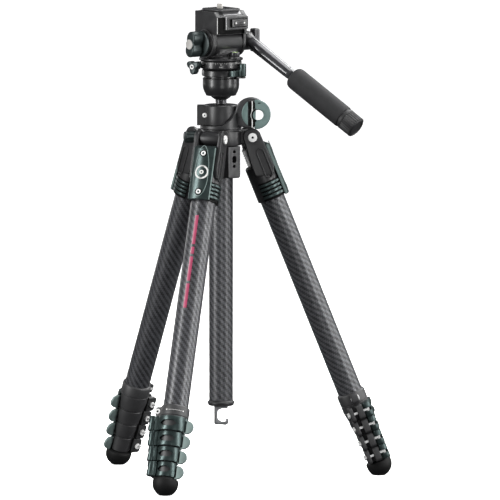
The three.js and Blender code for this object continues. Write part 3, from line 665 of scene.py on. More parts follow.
floor_mesh = bpy.data.meshes.new("floor")
floor_mesh.from_pydata(
    [(-30, -30, 0), (30, -30, 0), (30, 30, 0), (-30, 30, 0)], [], [(0, 1, 2, 3)]
)
floor_look = Nodes("floor_white")
floor_uneven = floor_look.noise(floor_look.place(), 3)
floor_tint = floor_look.mix(floor_uneven, (0.9, 0.9, 0.9, 1), (0.94, 0.94, 0.94, 1))
floor_look.drive("Base Color", floor_tint)
fill(floor_look.shader, {"Roughness": 0.9, "Specular IOR Level": 0.1})
fill(floor_look.shader, {"Emission Color": (1, 1, 1, 1), "Emission Strength": 0.62})
floor_mesh.materials.append(floor_look.material)
floor = new_object("floor", floor_mesh)
floor.visible_glossy = False
floor.visible_diffuse = False
floor_only = bpy.data.collections.new("floor_only")
floor_only.objects.link(floor)
sun_data = bpy.data.lights.new("floor_light", "SUN")
sun_data.angle = math.radians(60)
sun_data.energy = 1.35
sun = new_object("floor_light", sun_data)
aim(sun, Vector((0, 0, 3)), Vector((0, 0.3, 0)))
sun.light_linking.receiver_collection = floor_only
scene.view_settings.view_transform = "Standard"


# ---- legs: x outward, y along the hinge pin, z up the leg ----

def casting(leg, place):
    body = f"leg_{leg}"
    sleeve = lathe([
        (0, -31.7), (12.8, -31.7), (12.8, -66), (13.9, -66), (14.4, -65.8), (14.6, -65.3),
        (14.6, -31), (14.4, -30.1), (13.8, -29.5), (13, -29.4), (0, -29.4),
    ])
    ear = rounded(
        [(p[0], p[1], 0) for p in arc(0, 0, 9, -8, 188, 28)]
        + [(-11.5, -24, 3), (-11.5, -38, 3), (6.5, -44, 3), (9.6, -34, 4)]
    )
    recess = capsule(1.6, -40, -17, 3.1)
    rim = capsule(1.6, -40, -17, 4.3)
    shells = on_tube(sleeve)
    for side in (1, -1):
        a, b = sorted((side * 10.3, side * 14.6))
        shells.append(slab(ear, a, b, bevel=0.9, axis="y"))
        a, b = sorted((side * 14.3, side * 15.5))
        shells.append(slab(rim, a, b, [recess], 0.4, "y"))
        shells.append(washer((0, 0), 6.8, 5.2, a, b - 0.4 if side > 0 else b, 0.2, "y"))
    shells.append(rod(1.5, -11, 11, LATCH_PIN, "y"))
    piece(f"{body}_casting_shell", shells, [CAST], place, body, [f"{body}_casting"])


def on_tube(*shells):
    """Moves shells made round the tube's axis into place."""
    return [moved(shell, shift(TUBE_X)) for shell in shells]


def curved(shell):
    """Bends a flat mark back onto the cover's convex face."""
    verts, faces, uvs, mat = shell
    drop = [COVER_CURVE - math.sqrt(COVER_CURVE**2 - y * y) for _, y, _ in verts]
    return [(x - d, y, z) for (x, y, z), d in zip(verts, drop)], faces, uvs, mat


def cover(leg, place):
    body = f"leg_{leg}"
    section = arc(15.7 - COVER_CURVE, 0, COVER_CURVE, -29, 29, 24) + [
        (10.4, 10.8), (9.9, 10.4), (9.9, -10.4), (10.4, -10.8)
    ]
    section = [(x, max(-10.8, min(10.8, y))) for x, y in section]
    shells = [slab(section, -66.5, -9.6, bevel=0.6)]
    for s in (49.5, 53.6, 57.7, 61.8):
        rib = [
            (14.8, -s - 1.3), (15.4, -s - 1.3), (15.8, -s - 0.9), (15.95, -s),
            (15.8, -s + 0.9), (15.4, -s + 1.3), (14.8, -s + 1.3),
        ]
        for start, stop in ((36, 128), (232, 324)):
            shells += on_tube(lathe(rib, 28, start, stop))
    # Dark backing under the ribs: painted shade in the grooves between them.
    groove_shade = [(14.75, -65.4), (15.05, -65.4), (15.05, -46.8), (14.75, -46.8)]
    for start, stop in ((36, 130), (230, 324)):
        shells += on_tube(lathe(groove_shade, 28, start, stop, mat=1))
    # Light green strips along the cover's sides: painted highlight of the rim light.
    for side in (-1, 1):
        a, b = sorted((side * 10.6, side * 10.95))
        shells.append(block(10.3, 12.9, a, b, -66, -12.5, 0.1, 2))
    slope = moved(block(-9, 0, -14, 14, 0, 9, 0.05), shift(15.9, 0, -14.5) @ spin(38, "Y"))
    clearance = on_tube(rod(14.75, -70, -27, bevel=0.05, steps=72))
    piece(
        f"{body}_cover_plate", shells, [GREEN, DARK, GREEN_LIT], place, body, [f"{body}_cover"],
        cuts=[slope, *clearance],
    )
    pear = [
        ((7.8 - 1.1 * cos(a)) * sin(a), -38 + (27 if cos(a) > 0 else 26) * cos(a))
        for a in range(0, 360, 5)
    ]
    # The raised outline takes the lighter green: painted highlight along its edge.
    marks = [slab(pear, 15.5, 15.95, [shrunk(pear if area(pear) > 0 else pear[::-1], 0.6)], 0.15, "x", 0)]
    marks.append(washer(EMBLEM, 7.1, 5.5, 15.5, 15.85, 0.12, "x", 1))
    marks.append(washer(EMBLEM, 2.2, 1.0, 15.5, 15.85, 0.12, "x", 1))
    marks = [curved(shell) for shell in marks]
    for s in (19.2, 59):
        # Dark ring round each screw head: painted shade round the head.
        marks.append(washer((0, -s), 3.6, 2.7, 15.5, 15.78, 0.08, "x", 2))
        marks += socket_screw(2.5, 14.4, 16.1, (0, -s), "x", 1, 3)
    piece(f"{body}_cover_marks", marks, [GREEN_LIT, WHITE, DARK, STEEL, DARK], place, body)


def angle_latch(leg, place):
    body = f"leg_{leg}_angle_latch"
    arm = [(-8.2, -26), (-11.6, -28.6)]
    for i in range(7):
        z = -27.4 + i * 2.5
        arm += [(-13.1, z), (-12.0, z + 1.3)]
    arm += [(-12.4, -10.4), (-9.4, -10.4), (-8.4, -20)]
    shells = [rod(3.1, -7.5, 7.5, LATCH_PIN, "y", 0.5), slab(arm, -6, 6, bevel=0.25, axis="y")]
    piece(f"{body}_arm", shells, [MACHINED], place, body, [body])


def hub_y(radius):
    return -(radius + 4.6)


def leg_section(leg, k, place):
    body = f"leg_{leg}" if k == 0 else f"leg_{leg}_section_{k + 1}"
    node = f"leg_{leg}_section_{k + 1}"
    radius = SECTION_R[k]
    top = -(STAGE_TOP + STAGE_PITCH * k)
    bottom = top - STAGE_HEIGHT
    collar_top = -RING_TOP if k == 0 else top
    outer = COLLAR_R[k]
    below = COLLAR_R[k + 1] if k < 3 else 9.2
    tube = lathe(
        [(radius - 1.2, bottom + 4), (radius, bottom + 4),
        (radius, -SECTION_TOP[k]), (radius - 1.2, -SECTION_TOP[k])],
        96,
        weave=True,
    )
    piece(f"{node}_tube", on_tube(tube), [CARBON], place, body, [node])
    if k == 0:
        step = [
            (outer, top + 0.5), (outer - 0.5, top + 0.9), (outer - 0.5, top + 1.3),
            (outer + 0.1, top + 1.8),
            (outer + 0.1, collar_top - 1.6), (outer - 0.2, collar_top - 0.9),
            (outer - 0.9, collar_top - 0.3),
        ]
    else:
        step = [(outer, top - 0.5), (outer - 0.5, top)]
    collar = lathe(
        [
            (SECTION_R[k + 1] + 0.3, bottom), (below - 0.2, bottom), (below + 0.3, bottom + 0.5),
            (outer, top - 6)
        ]
        + step
        + [(radius + 0.05, collar_top), (radius + 0.05, bottom + 2), (SECTION_R[k + 1] + 0.3, bottom + 2)],
        96,
    )
    far = -(outer + 7)
    shells = [collar]
    ear = rounded([(-outer + 3.5, top), (far, top, 3), (far, bottom, 3), (-outer + 3.5, bottom)])
    for x0, x1 in ((-11.3, -7.3), (-3.4, 3)):
        shells.append(slab(ear, x0, x1, bevel=0.5, axis="x"))
    if k == 0:
        lug = rounded(
            [
                (-outer - 5.6, -288.6, 3), (-outer + 3, -288.6), (-outer + 3, -278.8),
                (-outer - 5.6, -278.8, 3)
            ]
        )
        shells.append(slab(lug, -4, 3, bevel=0.5, axis="x"))
    slit = block(-7.3, -3.4, far - 1, -(outer - 1.6), bottom - 1, top + 0.4, 0.05)
    piece(f"{node}_collar", on_tube(*shells), [COLLAR], place, body, [node], cuts=on_tube(slit))
    middle = (top + bottom) / 2
    hub = hub_y(outer)
    screws = [rod(1.3, -13.5, HUB_X, (hub, middle), "x", 0.1)]
    screws += socket_screw(2.8, -13.5, -11.4, (hub + 2.8, middle), "x", -1, socket=0.4)
    screws.append(rod(1.5, middle - 6.8, middle + 6.8, (HUB_X, hub), "z", 0.2))
    if k == 0:
        screws += socket_screw(2.7, 2.6, 4.0, (-(outer + 2.7), -283.7), "x", 1, socket=0.45)
        screws.append(rod(1.5, -4.4, -3.9, (-(outer + 2.7), -283.7), "x", 0.2))
    piece(f"{node}_clamp_screw", on_tube(*screws), [STEEL, DARK], place, body, [node])
    if k == 0:
        line = [
            (outer - 0.1, -284.1), (outer + 0.2, -284.1), (outer + 0.2, -283.8), (outer - 0.1, -283.8)
        ]
        marks = [lathe(line, 12, -8, 46)]
        dot = slab(circle(0, -284, 0.75, 24), outer - 0.2, outer + 0.25, bevel=0.08, axis="x")
        marks += [moved(dot, spin(angle)) for angle in (-16, 54)]
        piece(f"{node}_marks", on_tube(*marks), [WHITE], place, body)


def flip_lever(leg, k, place):
    body = f"leg_{leg}_lever_{k + 1}"
    radius = COLLAR_R[k]
    top = -(STAGE_TOP + STAGE_PITCH * k) - 0.2
    bottom = top - STAGE_HEIGHT + 0.4
    middle = (top + bottom) / 2
    inner = radius + 0.3
    outer = inner + 1.9
    hub = hub_y(radius)
    skin = arc(0, 0, outer, -58, -49, 4)
    skin += arc(0, 0, outer - 0.7, -48.3, -46.6, 2)
    skin += arc(0, 0, outer, -46, 61, 36)
    skin += arc(0, 0, outer - 0.7, 61.6, 64.2, 2)
    skin += arc(0, 0, outer, 64.8, LEVER_END, 4)
    plate = slab(skin + arc(0, 0, inner, LEVER_END, -58, 40), bottom, top, bevel=0.45)
    arm_x = inner * cos(58)
    arm = block(arm_x + 0.1, HUB_X + 2.6, hub, -inner * sin(58) + 0.1, bottom, top, 0.45)
    barrel = rod(4.2, bottom, top, (HUB_X, hub), "z", 0.45, 1.75)
    tab_x, tab_y = polar(outer, LEVER_END)
    disc = arc(tab_y + 0.9, middle - 1.8, 6.8, -90, 90, 28)
    # The tab takes the lighter green: painted highlight on its face.
    tab = slab(
        [(tab_y - 1.6, disc[0][1]), *disc, (tab_y - 1.6, disc[-1][1])],
        tab_x - 1, tab_x + 1.6, bevel=0.5, axis="x", mat=1,
    )
    # A dark strip between the plate and the tab: painted shade in the gap.
    seam_shade = block(tab_x + 1.3, tab_x + 1.75, tab_y - 0.6, tab_y + 0.3, middle - 7.2, middle + 4, 0.1, 2)
    width = 5 - 0.5 * k
    hole = slab(
        rounded([
            (width, middle - 3.1, 1.2), (width + 4, middle, 0.8), (width, middle + 3.1, 1.2),
            (-width, middle + 3.1, 1.2), (-width - 4, middle, 0.8), (-width, middle - 3.1, 1.2),
        ]),
        inner - 4, outer + 4, bevel=0.05, axis="x",
    )
    gap = slab(
        [(HUB_X, hub + 1.7)] + arc(HUB_X, hub, 5.6, 162, 312, 12) + [(HUB_X + 1.6, hub + 0.6)],
        middle - 1.8, middle + 1.8, bevel=0.05,
    )
    shells = on_tube(plate, arm, barrel, tab, seam_shade)
    piece(
        f"{body}_plate", shells, [GREEN, GREEN_LIT, DARK], place, body, [body],
        cuts=on_tube(hole, gap),
    )


def foot(leg, place):
    body = f"leg_{leg}_foot_section"
    top = -(STAGE_TOP + STAGE_PITCH * 4) + 0.1
    tube = lathe(
        [(5.3, top - 4), (6.5, top - 4), (6.5, -SECTION_TOP[4]), (5.3, -SECTION_TOP[4])], 64, weave=True
    )
    piece(f"{body}_tube", on_tube(tube), [CARBON], place, body, [body])
    dome = [(0, -FOOT_CENTRE - FOOT_R)] + arc(0, -FOOT_CENTRE, FOOT_R, -90, -10, 18)[1:] + [
        (FOOT_R, -FOOT_CENTRE + 1.4), (FOOT_R - 0.1, top - 2.4), (FOOT_R - 0.5, top - 1.2),
        (FOOT_R - 1.6, top - 0.4),
        (FOOT_R - 3, top), (6.6, top), (6.6, top - 3), (0, top - 3),
    ]
    ground = block(-600, 600, -600, 600, -60, 0, 0.05)
    ground = moved(ground, place.inverted() @ Matrix.Scale(MM, 4))
    piece(
        f"{body}_rubber", on_tube(lathe(dome, 72)), [RUBBER], place, body, [body], cuts=[ground]
    )


def stripe(place):
    """A broken line along the outermost side of the front tube."""
    r = SECTION_R[0]
    dashes = []
    for first, last in ((82, 112), (115, 122), (125, 150), (153, 178)):
        ring = [(r - 0.1, -last), (r + 0.12, -last), (r + 0.12, -first), (r - 0.1, -first)]
        dashes += on_tube(lathe(ring, 8, -8, 8))
    piece("leg_front_stripe", dashes, [STRIPE], place, "leg_front")


stripe(leg_place("front"))
for leg in LEGS:
    place = leg_place(leg)
    casting(leg, place)
    cover(leg, place)
    angle_latch(leg, place)
    for k in range(4):
        leg_section(leg, k, place)
        flip_lever(leg, k, place)
    foot(leg, place)


# ---- crown: x towards the column lock lever, y away from the lever's face ----

def slanted_wall():
    """The wall behind the column clamp, which climbs towards the boss."""
    def top(x):
        if x < 1:
            return 355.4
        if x < 10:
            return 355.4 + (x - 1) * 6.6 / 9
        return 362 + (x - 10) * 13.5 / 10.5

    steps = 96
    verts, faces = [], []
    for i in range(steps):
        a = 360 * i / steps
        rim = top(20.5 * cos(a))
        for r, z in ((20.5, 353.5), (20.5, rim - 0.4), (20.1, rim), (17.4, rim), (17.4, 353.5)):
            verts.append((*polar(r, a), z))
    for i in range(steps):
        k = (i + 1) % steps
        for j in range(5):
            m = (j + 1) % 5
            faces.append([5 * i + j, 5 * k + j, 5 * k + m, 5 * i + m])
    return verts, faces, [None] * len(faces), 0


def build_crown():
    ring = lathe([
        (12.4, 335), (19.6, 335), (20.6, 335.4), (21, 336.3), (21, 349), (20.7, 349.8), (20.2, 350.2),
        (20, 350.5), (20, 351.4), (20.3, 351.8), (20.8, 352.2), (20.8, 354.3), (20.5, 354.8), (20.1, 355),
        (12.4, 355),
    ], 96)
    shells = [ring, slanted_wall()]
    pins = []
    for angle in LEG_ANGLES:
        turn = spin(angle - CROWN_TURN)
        arm = arc(HINGE_R, HINGE_Z, 6.5, -90, 90, 24) + [(15, HINGE_Z + 6.5), (15, HINGE_Z - 6.5)]
        shells.append(moved(slab(arm, -10, 10, bevel=1.0, axis="y"), turn))
        pins.append(moved(rod(3.9, -15, 15, (HINGE_R, HINGE_Z), "y", 0.2), turn))
        for side in (1, -1):
            a, b = sorted((side * 14.8, side * 16.1))
            pins += [
                moved(shell, turn)
                for shell in socket_screw(4.5, a, b, (HINGE_R, HINGE_Z), "y", side, socket=0.3)
            ]
    yoke = block(27.6, 33, -15.6, -12, 355.4, 381, 0.5)
    shells.append(yoke)
    knob_place = shift(0, 0, CROWN_KNOB_Z) @ spin(CROWN_KNOB_TURN - CROWN_TURN)
    knob_bore = moved(rod(3.3, 14, 26, bevel=0.05, axis="x"), knob_place)
    piece(
        "crown_casting", shells, [CAST], CROWN, "crown", ["crown"],
        cuts=[knob_bore],
    )
    piece("crown_hinge_pins", pins, [STEEL, DARK], CROWN, "crown", ["crown"])
    outline = arc(30, 367.8, 15.8, -40, 205, 48) + [(16, 355), (24, 353.4), (38, 353.4)]
    boss = slab(outline, -12.5, -4.5, [circle(*LOCK_HOLE, 5.9)], 1.4, "y")
    piece("crown_lock_boss", [boss], [BOSS], CROWN, "crown", ["crown"])
    crescent = slab(arc(35, 368, 14.3, 124, 236, 28), -18, -12.4, bevel=0.9, axis="y")
    piece("crown_lock_nut", [crescent], [LOCK_GREEN], CROWN, "crown", ["crown"])
    pin = rod(1.3, 356.5, 378.5, LOCK_PIN, "z", 0.3)
    piece("crown_lock_pin", [pin], [DARK], CROWN, "crown", ["crown"])


def build_lock_lever():
    outline = [(33.6, 352.6)] + arc(35, 367.2, 14.7, -84, 84, 40) + [(33.6, 381.8)]
    disc = slab(outline, -19, -13.2, [circle(*LOCK_HOLE, 5.2)], 0.9, "y")
    brow = arc(*LOCK_HOLE, 7.1, 108, 252, 24) + arc(*LOCK_HOLE, 5.3, 252, 108, 24)
    shells = [disc, slab(brow, -19.3, -18.8, bevel=0.2, axis="y", mat=1)]
    for low_z, high_z in LOCK_KNUCKLES:
        shells.append(rod(2.6, low_z, high_z, LOCK_PIN, "z", 0.3, 1.7, mat=1))
        shells.append(block(31.8, 34.5, -18.9, -14.1, low_z, high_z, 0.3, 1))
    shells.append(
        slab(rectangle(36.6, 39.6, 378.2, 379.2, 0.4), -19.15, -18.6, bevel=0.15, axis="y", mat=1)
    )
    piece(
        "column_lock_lever_disc", shells, [LOCK_GREEN, DARK], CROWN, "column_lock_lever",
        ["column_lock_lever"],
    )


def build_lock_highlight():
    # A thin bright line round the lever's hole: painted highlight of the lever's edge, drawn as a round
    # rod.
    y = -18.6
    wire = [(31.2, y, 380.6), (31.2, y, 370.6)]
    wire += [(x, y, z) for x, z in arc(37, 366.6, 6.8, 148, 212, 16)]
    wire += [(31.2, y, 362.6), (31.2, y, 354)]
    piece("column_lock_painted_highlight", [tube_along(wire, 0.5)], [STEEL], CROWN, "column_lock_lever", ())


def build_column_head():
    collar = lathe([
        (12.3, 355.4), (16.2, 355.4), (16.8, 355.8), (17, 356.4), (17, 373.8), (16.7, 374.9), (16, 375.6),
        (4.8, 375.6), (4.8, 371), (12.3, 371),
    ], 96)
    lug = slab(rectangle(-24, -10, 355.4, 375, 0.7), -8, 8, bevel=0.5, axis="y")
    slit = block(-30, -11, -0.8, 0.8, 350, 390, 0.05)
    grooves = [
        block(-14.6, -13.4, -12.5, -6.2, 350, 390, 0.05), block(-21.9, -21.4, -8.4, -7.5, 350, 390, 0.05)
    ]
    piece(
        "column_clamp", [collar, lug], [CAST], CROWN, "column", ["column_head"],
        cuts=[slit, *grooves],
    )
    screw = socket_screw(2.4, -9.2, -7.4, (-16.2, 365.6), "y", -1, socket=0.3)
    piece("column_clamp_screw", screw, [STEEL, DARK], CROWN, "column", ["column_head"])


def build_crown_knob():
    turn = about_column(CROWN_KNOB_TURN) @ shift(0, 0, CROWN_KNOB_Z)
    grip = slab(lobed(5.75, 0.3, 8, 96), 25.2, 35.6, bevel=0.5, axis="x")
    collars = [rod(5.6, 23.4, 25.6, axis="x", bevel=0.4), rod(5.5, 35.2, 37.4, axis="x", bevel=0.7)]
    shells = [grip, *collars, rod(3, 16, 24, axis="x")]
    piece("crown_knob_grip", shells, [GREEN_DARK], turn, "crown_knob", ["crown_knob"])


def build_bracket():
    turn = about_column(-30)
    outline = rounded([(-7.85, 334.7), (-7.85, 303, 2.5), (7.85, 303, 2.5), (7.85, 334.7)])
    holes = [circle(0, 329.4, 1.6, 24), capsule(0, 320.6, 322.8, 2.4), circle(0, 315, 1.6, 24)]
    plate = slab(outline, 13.4, 21, holes, 0.6, "x")
    piece(
        "accessory_bracket_plate", [plate], [BRACKET], turn, "crown", ["accessory_bracket"]
    )


def build_column():
    tube = lathe([(10.5, 78.9), (12, 78.9), (12, 371), (10.5, 371)], 96, weave=True)
    piece("column_carbon", [tube], [CARBON], CROWN, "column", ["column_tube"])
    cap = lathe([
        (3.4, 72.9), (9, 72.9), (11.6, 73.1), (12.8, 73.8), (13.3, 74.3), (13.3, 74.6), (12.7, 74.9),
        (12.7, 75.4),
        (13.5, 75.7), (14, 76.2), (13.9, 76.8), (13.2, 77.6), (12.2, 78.5), (10.2, 78.6), (10.2, 92),
        (3.4, 92),
    ], 96)
    piece("column_cap", [cap], [CAST], CROWN, "column", ["column_end_cap"])
    outline = rounded([
        (-7, 72.5), (-7, 54.2, 2), (5.6, 53.5, 2), (7.5, 55.4, 1), (7.5, 60, 1.6), (5.6, 59.6, 1),
        (4.4, 57.2, 1),
        (2.4, 56.4, 1.5), (0.4, 56.8, 1.5), (-3.3, 59.4, 2.5), (-3.3, 68.4, 2.5), (1, 70.2, 1.5),
        (6.8, 70.2, 0.5),
        (6.8, 72.5),
    ])
    shells = [slab(outline, -2.6, 2.6, bevel=0.8, axis="y"), rod(3, 72, 82, bevel=0.3)]
    piece("weight_hook_plate", shells, [SATIN_STEEL], CROWN, "weight_hook", ["weight_hook"])


# ---- ball head ----

def ball_arc(radius, centre, z0, z1, steps=12):
    start, stop = (math.degrees(math.asin((z - centre) / radius)) for z in (z0, z1))
    return arc(0, centre, radius, start, stop, steps)


def build_ball():
    neck = BALL_Z - math.sqrt(BALL_R**2 - 5.5**2)
    stem = lathe(
        [(0, 371.3), (4.5, 371.3), (4.5, 375.9), (5.7, 375.9), (5.9, 376.4),
        (5.5, 377), (5.5, neck), (0, neck)],
        64
    )
    ball = lathe([(0, neck - 0.2)] + ball_arc(BALL_R, BALL_Z, neck, 403.1, 32) + [(0, 403.1)], 96)
    piece("ball_neck", [stem], [NECK], CROWN, "column", ["ball_stem"])
    piece("ball_sphere", [ball], [SATIN], CROWN, "column", ["ball_stem"])
    seat = lathe(ball_arc(15.5, BALL_Z, 394.6, 401) + ball_arc(14, BALL_Z, 401, 394.6), 96)
    piece("ball_seat_liner", [seat], [DARK], CROWN, "ball_seat", ["ball_seat_ring"])
    bowl = lathe(
        ball_arc(14, BALL_Z, 388.6, 385, 8)
        + [(14.6, 384.9), (15.2, 385.1)]
        + ball_arc(18.3, 396.2, 386.2, 398, 16)
        + [(18.3, 402.2), (16.6, 403), (16.6, 404.2), (18.5, 404.6), (19.2, 405.1), (19.2, 409.9)]
        + [(18.8, 410.6), (18.2, 411), (8.3, 411), (8.3, 408.5), (0, 408.5), (0, 406.7)]
        + ball_arc(16, BALL_Z, 406.7, 388.6, 14),
        128,
    )
    x, y = polar(24.6, -28)
    arm = moved(slab(rectangle(16.9, 27.4, -3, 3, 2.6), 402.9, 404.5, bevel=0.4), spin(-28))
    shells = [bowl, arm, rod(1.4, 404, 417, (x, y), "z", 0.3)]
    piece("ball_bowl", shells, [SATIN], CROWN, "ball_housing", ["ball_housing"])
    grip = arc(0, 0, 22.9, -64, -33, 18) + arc(0, 0, 19.5, -33, -64, 18)
    lever = [slab(grip, 404.9, 410.9, bevel=0.5)]
    for i in range(6):
        rib = lathe(
            [(22.4, 405.4), (23.3, 405.4), (23.3, 410.4), (22.4, 410.4)], 4, -62 + 4.6 * i, -60 + 4.6 * i
        )
        lever.append(rib)
    lever.append(slab(arc(0, 0, 25.2, -42, -30, 6) + arc(0, 0, 20, -30, -42, 6), 404.9, 411.2, bevel=0.5))
    lever.append(slab(circle(x, y, 3.5, 40), 404.9, 417.5, [circle(x, y, 1.5, 24)], 0.5))
    piece(
        "ball_clamp_grip", lever, [GREEN], CROWN, "ball_clamp_lever", ["ball_clamp_lever"]
    )


def build_pan_base():
    base = lathe([
        (0, 408.9), (8, 408.9), (8, 411.3), (18, 411.3), (18.6, 411.5), (18.8, 412), (20, 412.3),
        (20.5, 412.8),
        (20.6, 413.3), (20.6, 418.9), (20.4, 419.6), (19.8, 420.2), (6, 420.2), (6, 423), (0, 423),
    ], 128)
    ticks = []
    for i in range(72):
        tall = 2.6 if i % 6 == 0 else (1.9 if i % 3 == 0 else 1.2)
        tick = block(
            20.5, 20.72, -0.16 if i % 6 else -0.3, 0.16 if i % 6 else 0.3, 419 - tall, 419, 0.04, 1
        )
        ticks.append(moved(tick, spin(i * 5)))
    dots = []
    for i in range(12):
        for side in (-1, 1):
            dot = slab(
                circle(side * 0.9, 414.7, 0.6, 20), 20.4, 20.7, [circle(side * 0.9, 414.7, 0.3, 14)],
                0.05, "x", 1
            )
            dots.append(moved(dot, spin(i * 30)))
    hole = moved(rod(2.3, -7, 5, axis="x", bevel=0.05), knob_turn())
    piece(
        "pan_scale_ring", [base], [SATIN], CROWN, "ball_housing", ["pan_base"], cuts=[hole]
    )
    piece("pan_scale_marks", ticks + dots, [DIM_MARK, DIM_MARK], CROWN, "ball_housing")


def knob_turn():
    return shift(-21.3, -3.8, 414.6) @ spin(-127)


def build_pan_lock():
    shells = [
        slab(lobed(6.1, 1.7, 3, 72, 30), 5.2, 12.6, bevel=1.0, axis="x"),
        rod(3.4, 1.9, 5.6, axis="x"),
        rod(2, -4.4, 2.4, axis="x"),
        washer((0, 0), 3.2, 2.5, 12.4, 13.0, 0.15, "x"),
    ]
    shells = [moved(shell, knob_turn()) for shell in shells]
    piece("pan_lock_grip", shells, [GREEN_DARK], CROWN, "pan_lock_knob", ["pan_lock_knob"])
    cap = [
        moved(shell, knob_turn()) for shell in socket_screw(2.5, 12.0, 13.2, (0, 0), "x", 1, socket=0.45)
    ]
    piece("pan_lock_cap", cap, [STEEL, DARK], CROWN, "pan_lock_knob", ["pan_lock_knob"])


# ---- pan and tilt head: x towards the operator's side, y along the tilt axis to the handle ----

def tilt_rod(radius, low, high, bevel=0.3, hole=0, steps=40):
    return rod(radius, low, high, (0, TILT_Z), "y", bevel, hole, steps)


def build_head_body():
    turntable = lathe([
        (0, 423.3), (6.3, 423.3), (6.3, 420.5), (21.2, 420.5), (21.8, 420.8), (22, 421.2), (22, 422),
        (21.7, 422.5),
        (21.2, 422.7), (17.2, 422.8), (16.4, 423.4), (15.4, 426), (14.4, 430), (0, 430),
    ], 128)
    drum = moved(lathe([
        (0, -16.8), (13.7, -16.8), (14.3, -16.2), (14.3, 16.2), (13.7, 16.8), (0, 16.8),
    ], 128, mat=1), shift(0, 0, TILT_Z) @ spin(-90, "X"))
    neck = slab(rectangle(-12.8, 13.2, -14, 14, 4), 424.4, TILT_Z, bevel=0.6)
    lug = lathe([(0, 422.5), (5.2, 422.5), (5.6, 422.9), (5.6, 424.6), (5.3, 424.9), (0, 424.9)], 48)
    lug = moved(lug, shift(*VIAL_AT))
    axle = [tilt_rod(5, -23.2, 22.2), tilt_rod(3.4, -34, -22)]
    clearance = rod(5, 423.7, 443, VIAL_AT, "z", 0.05)
    lip = [(*polar(16.6, a), 424.2 + 0.06 * (a + 80)) for a in range(-80, -9, 5)]
    piece(
        "pan_turntable", [turntable, drum, neck, lug, tube_along(lip, 1.1), *axle], [CAST, SATIN], HEAD,
        "pan_head",
        ["head_body"],
        cuts=[clearance],
    )
    rim = lathe([
        (3.4, 424), (4.5, 424), (4.7, 424.3), (4.7, 429), (4.4, 429.4), (3.7, 429.5), (3.4, 429.2),
    ], 64)
    vial = lathe([(0, 424.1), (3.35, 424.1), (3.35, 429.1), (2.6, 429.5), (0, 429.65)], 48)
    bubble = lathe([(0, 429.5), (1.2, 429.55), (1.25, 429.75), (0, 429.85)], 32)
    place = HEAD @ shift(*VIAL_AT)
    piece("level_rim", [rim], [NECK], place, "pan_head", ["bubble_level"])
    piece("level_vial", [vial], [VIAL], place, "pan_head", ["bubble_level"])
    piece("level_bubble", [bubble], [WHITE], place, "pan_head", ["bubble_level"])


def build_tilt_knob():
    shells = [
        slab(lobed(8.9, 4.2, 2, 96, 80, TILT_Z), -40.2, -27.2, bevel=1.4, axis="y"),
        tilt_rod(13.2, -27.4, -25.6, 0.7, 0, 96),
        tilt_rod(5.6, -40.6, -39, 0.3, 0, 64),
    ]
    bore = tilt_rod(3.7, -34.3, -22, 0.05)
    piece(
        "tilt_knob_grip", shells, [GREEN_DARK], HEAD, "tilt_knob", ["tilt_knob"],
        cuts=[bore]
    )
    cap = moved(
        lathe([(0, 39.8), (5, 39.8), (5, 40.8), (4.5, 41.2), (0, 41.35)], 64),
        shift(0, 0, TILT_Z) @ spin(90, "X")
    )
    piece("tilt_knob_cap", [cap], [SILVER], HEAD, "tilt_knob", ["tilt_knob"])


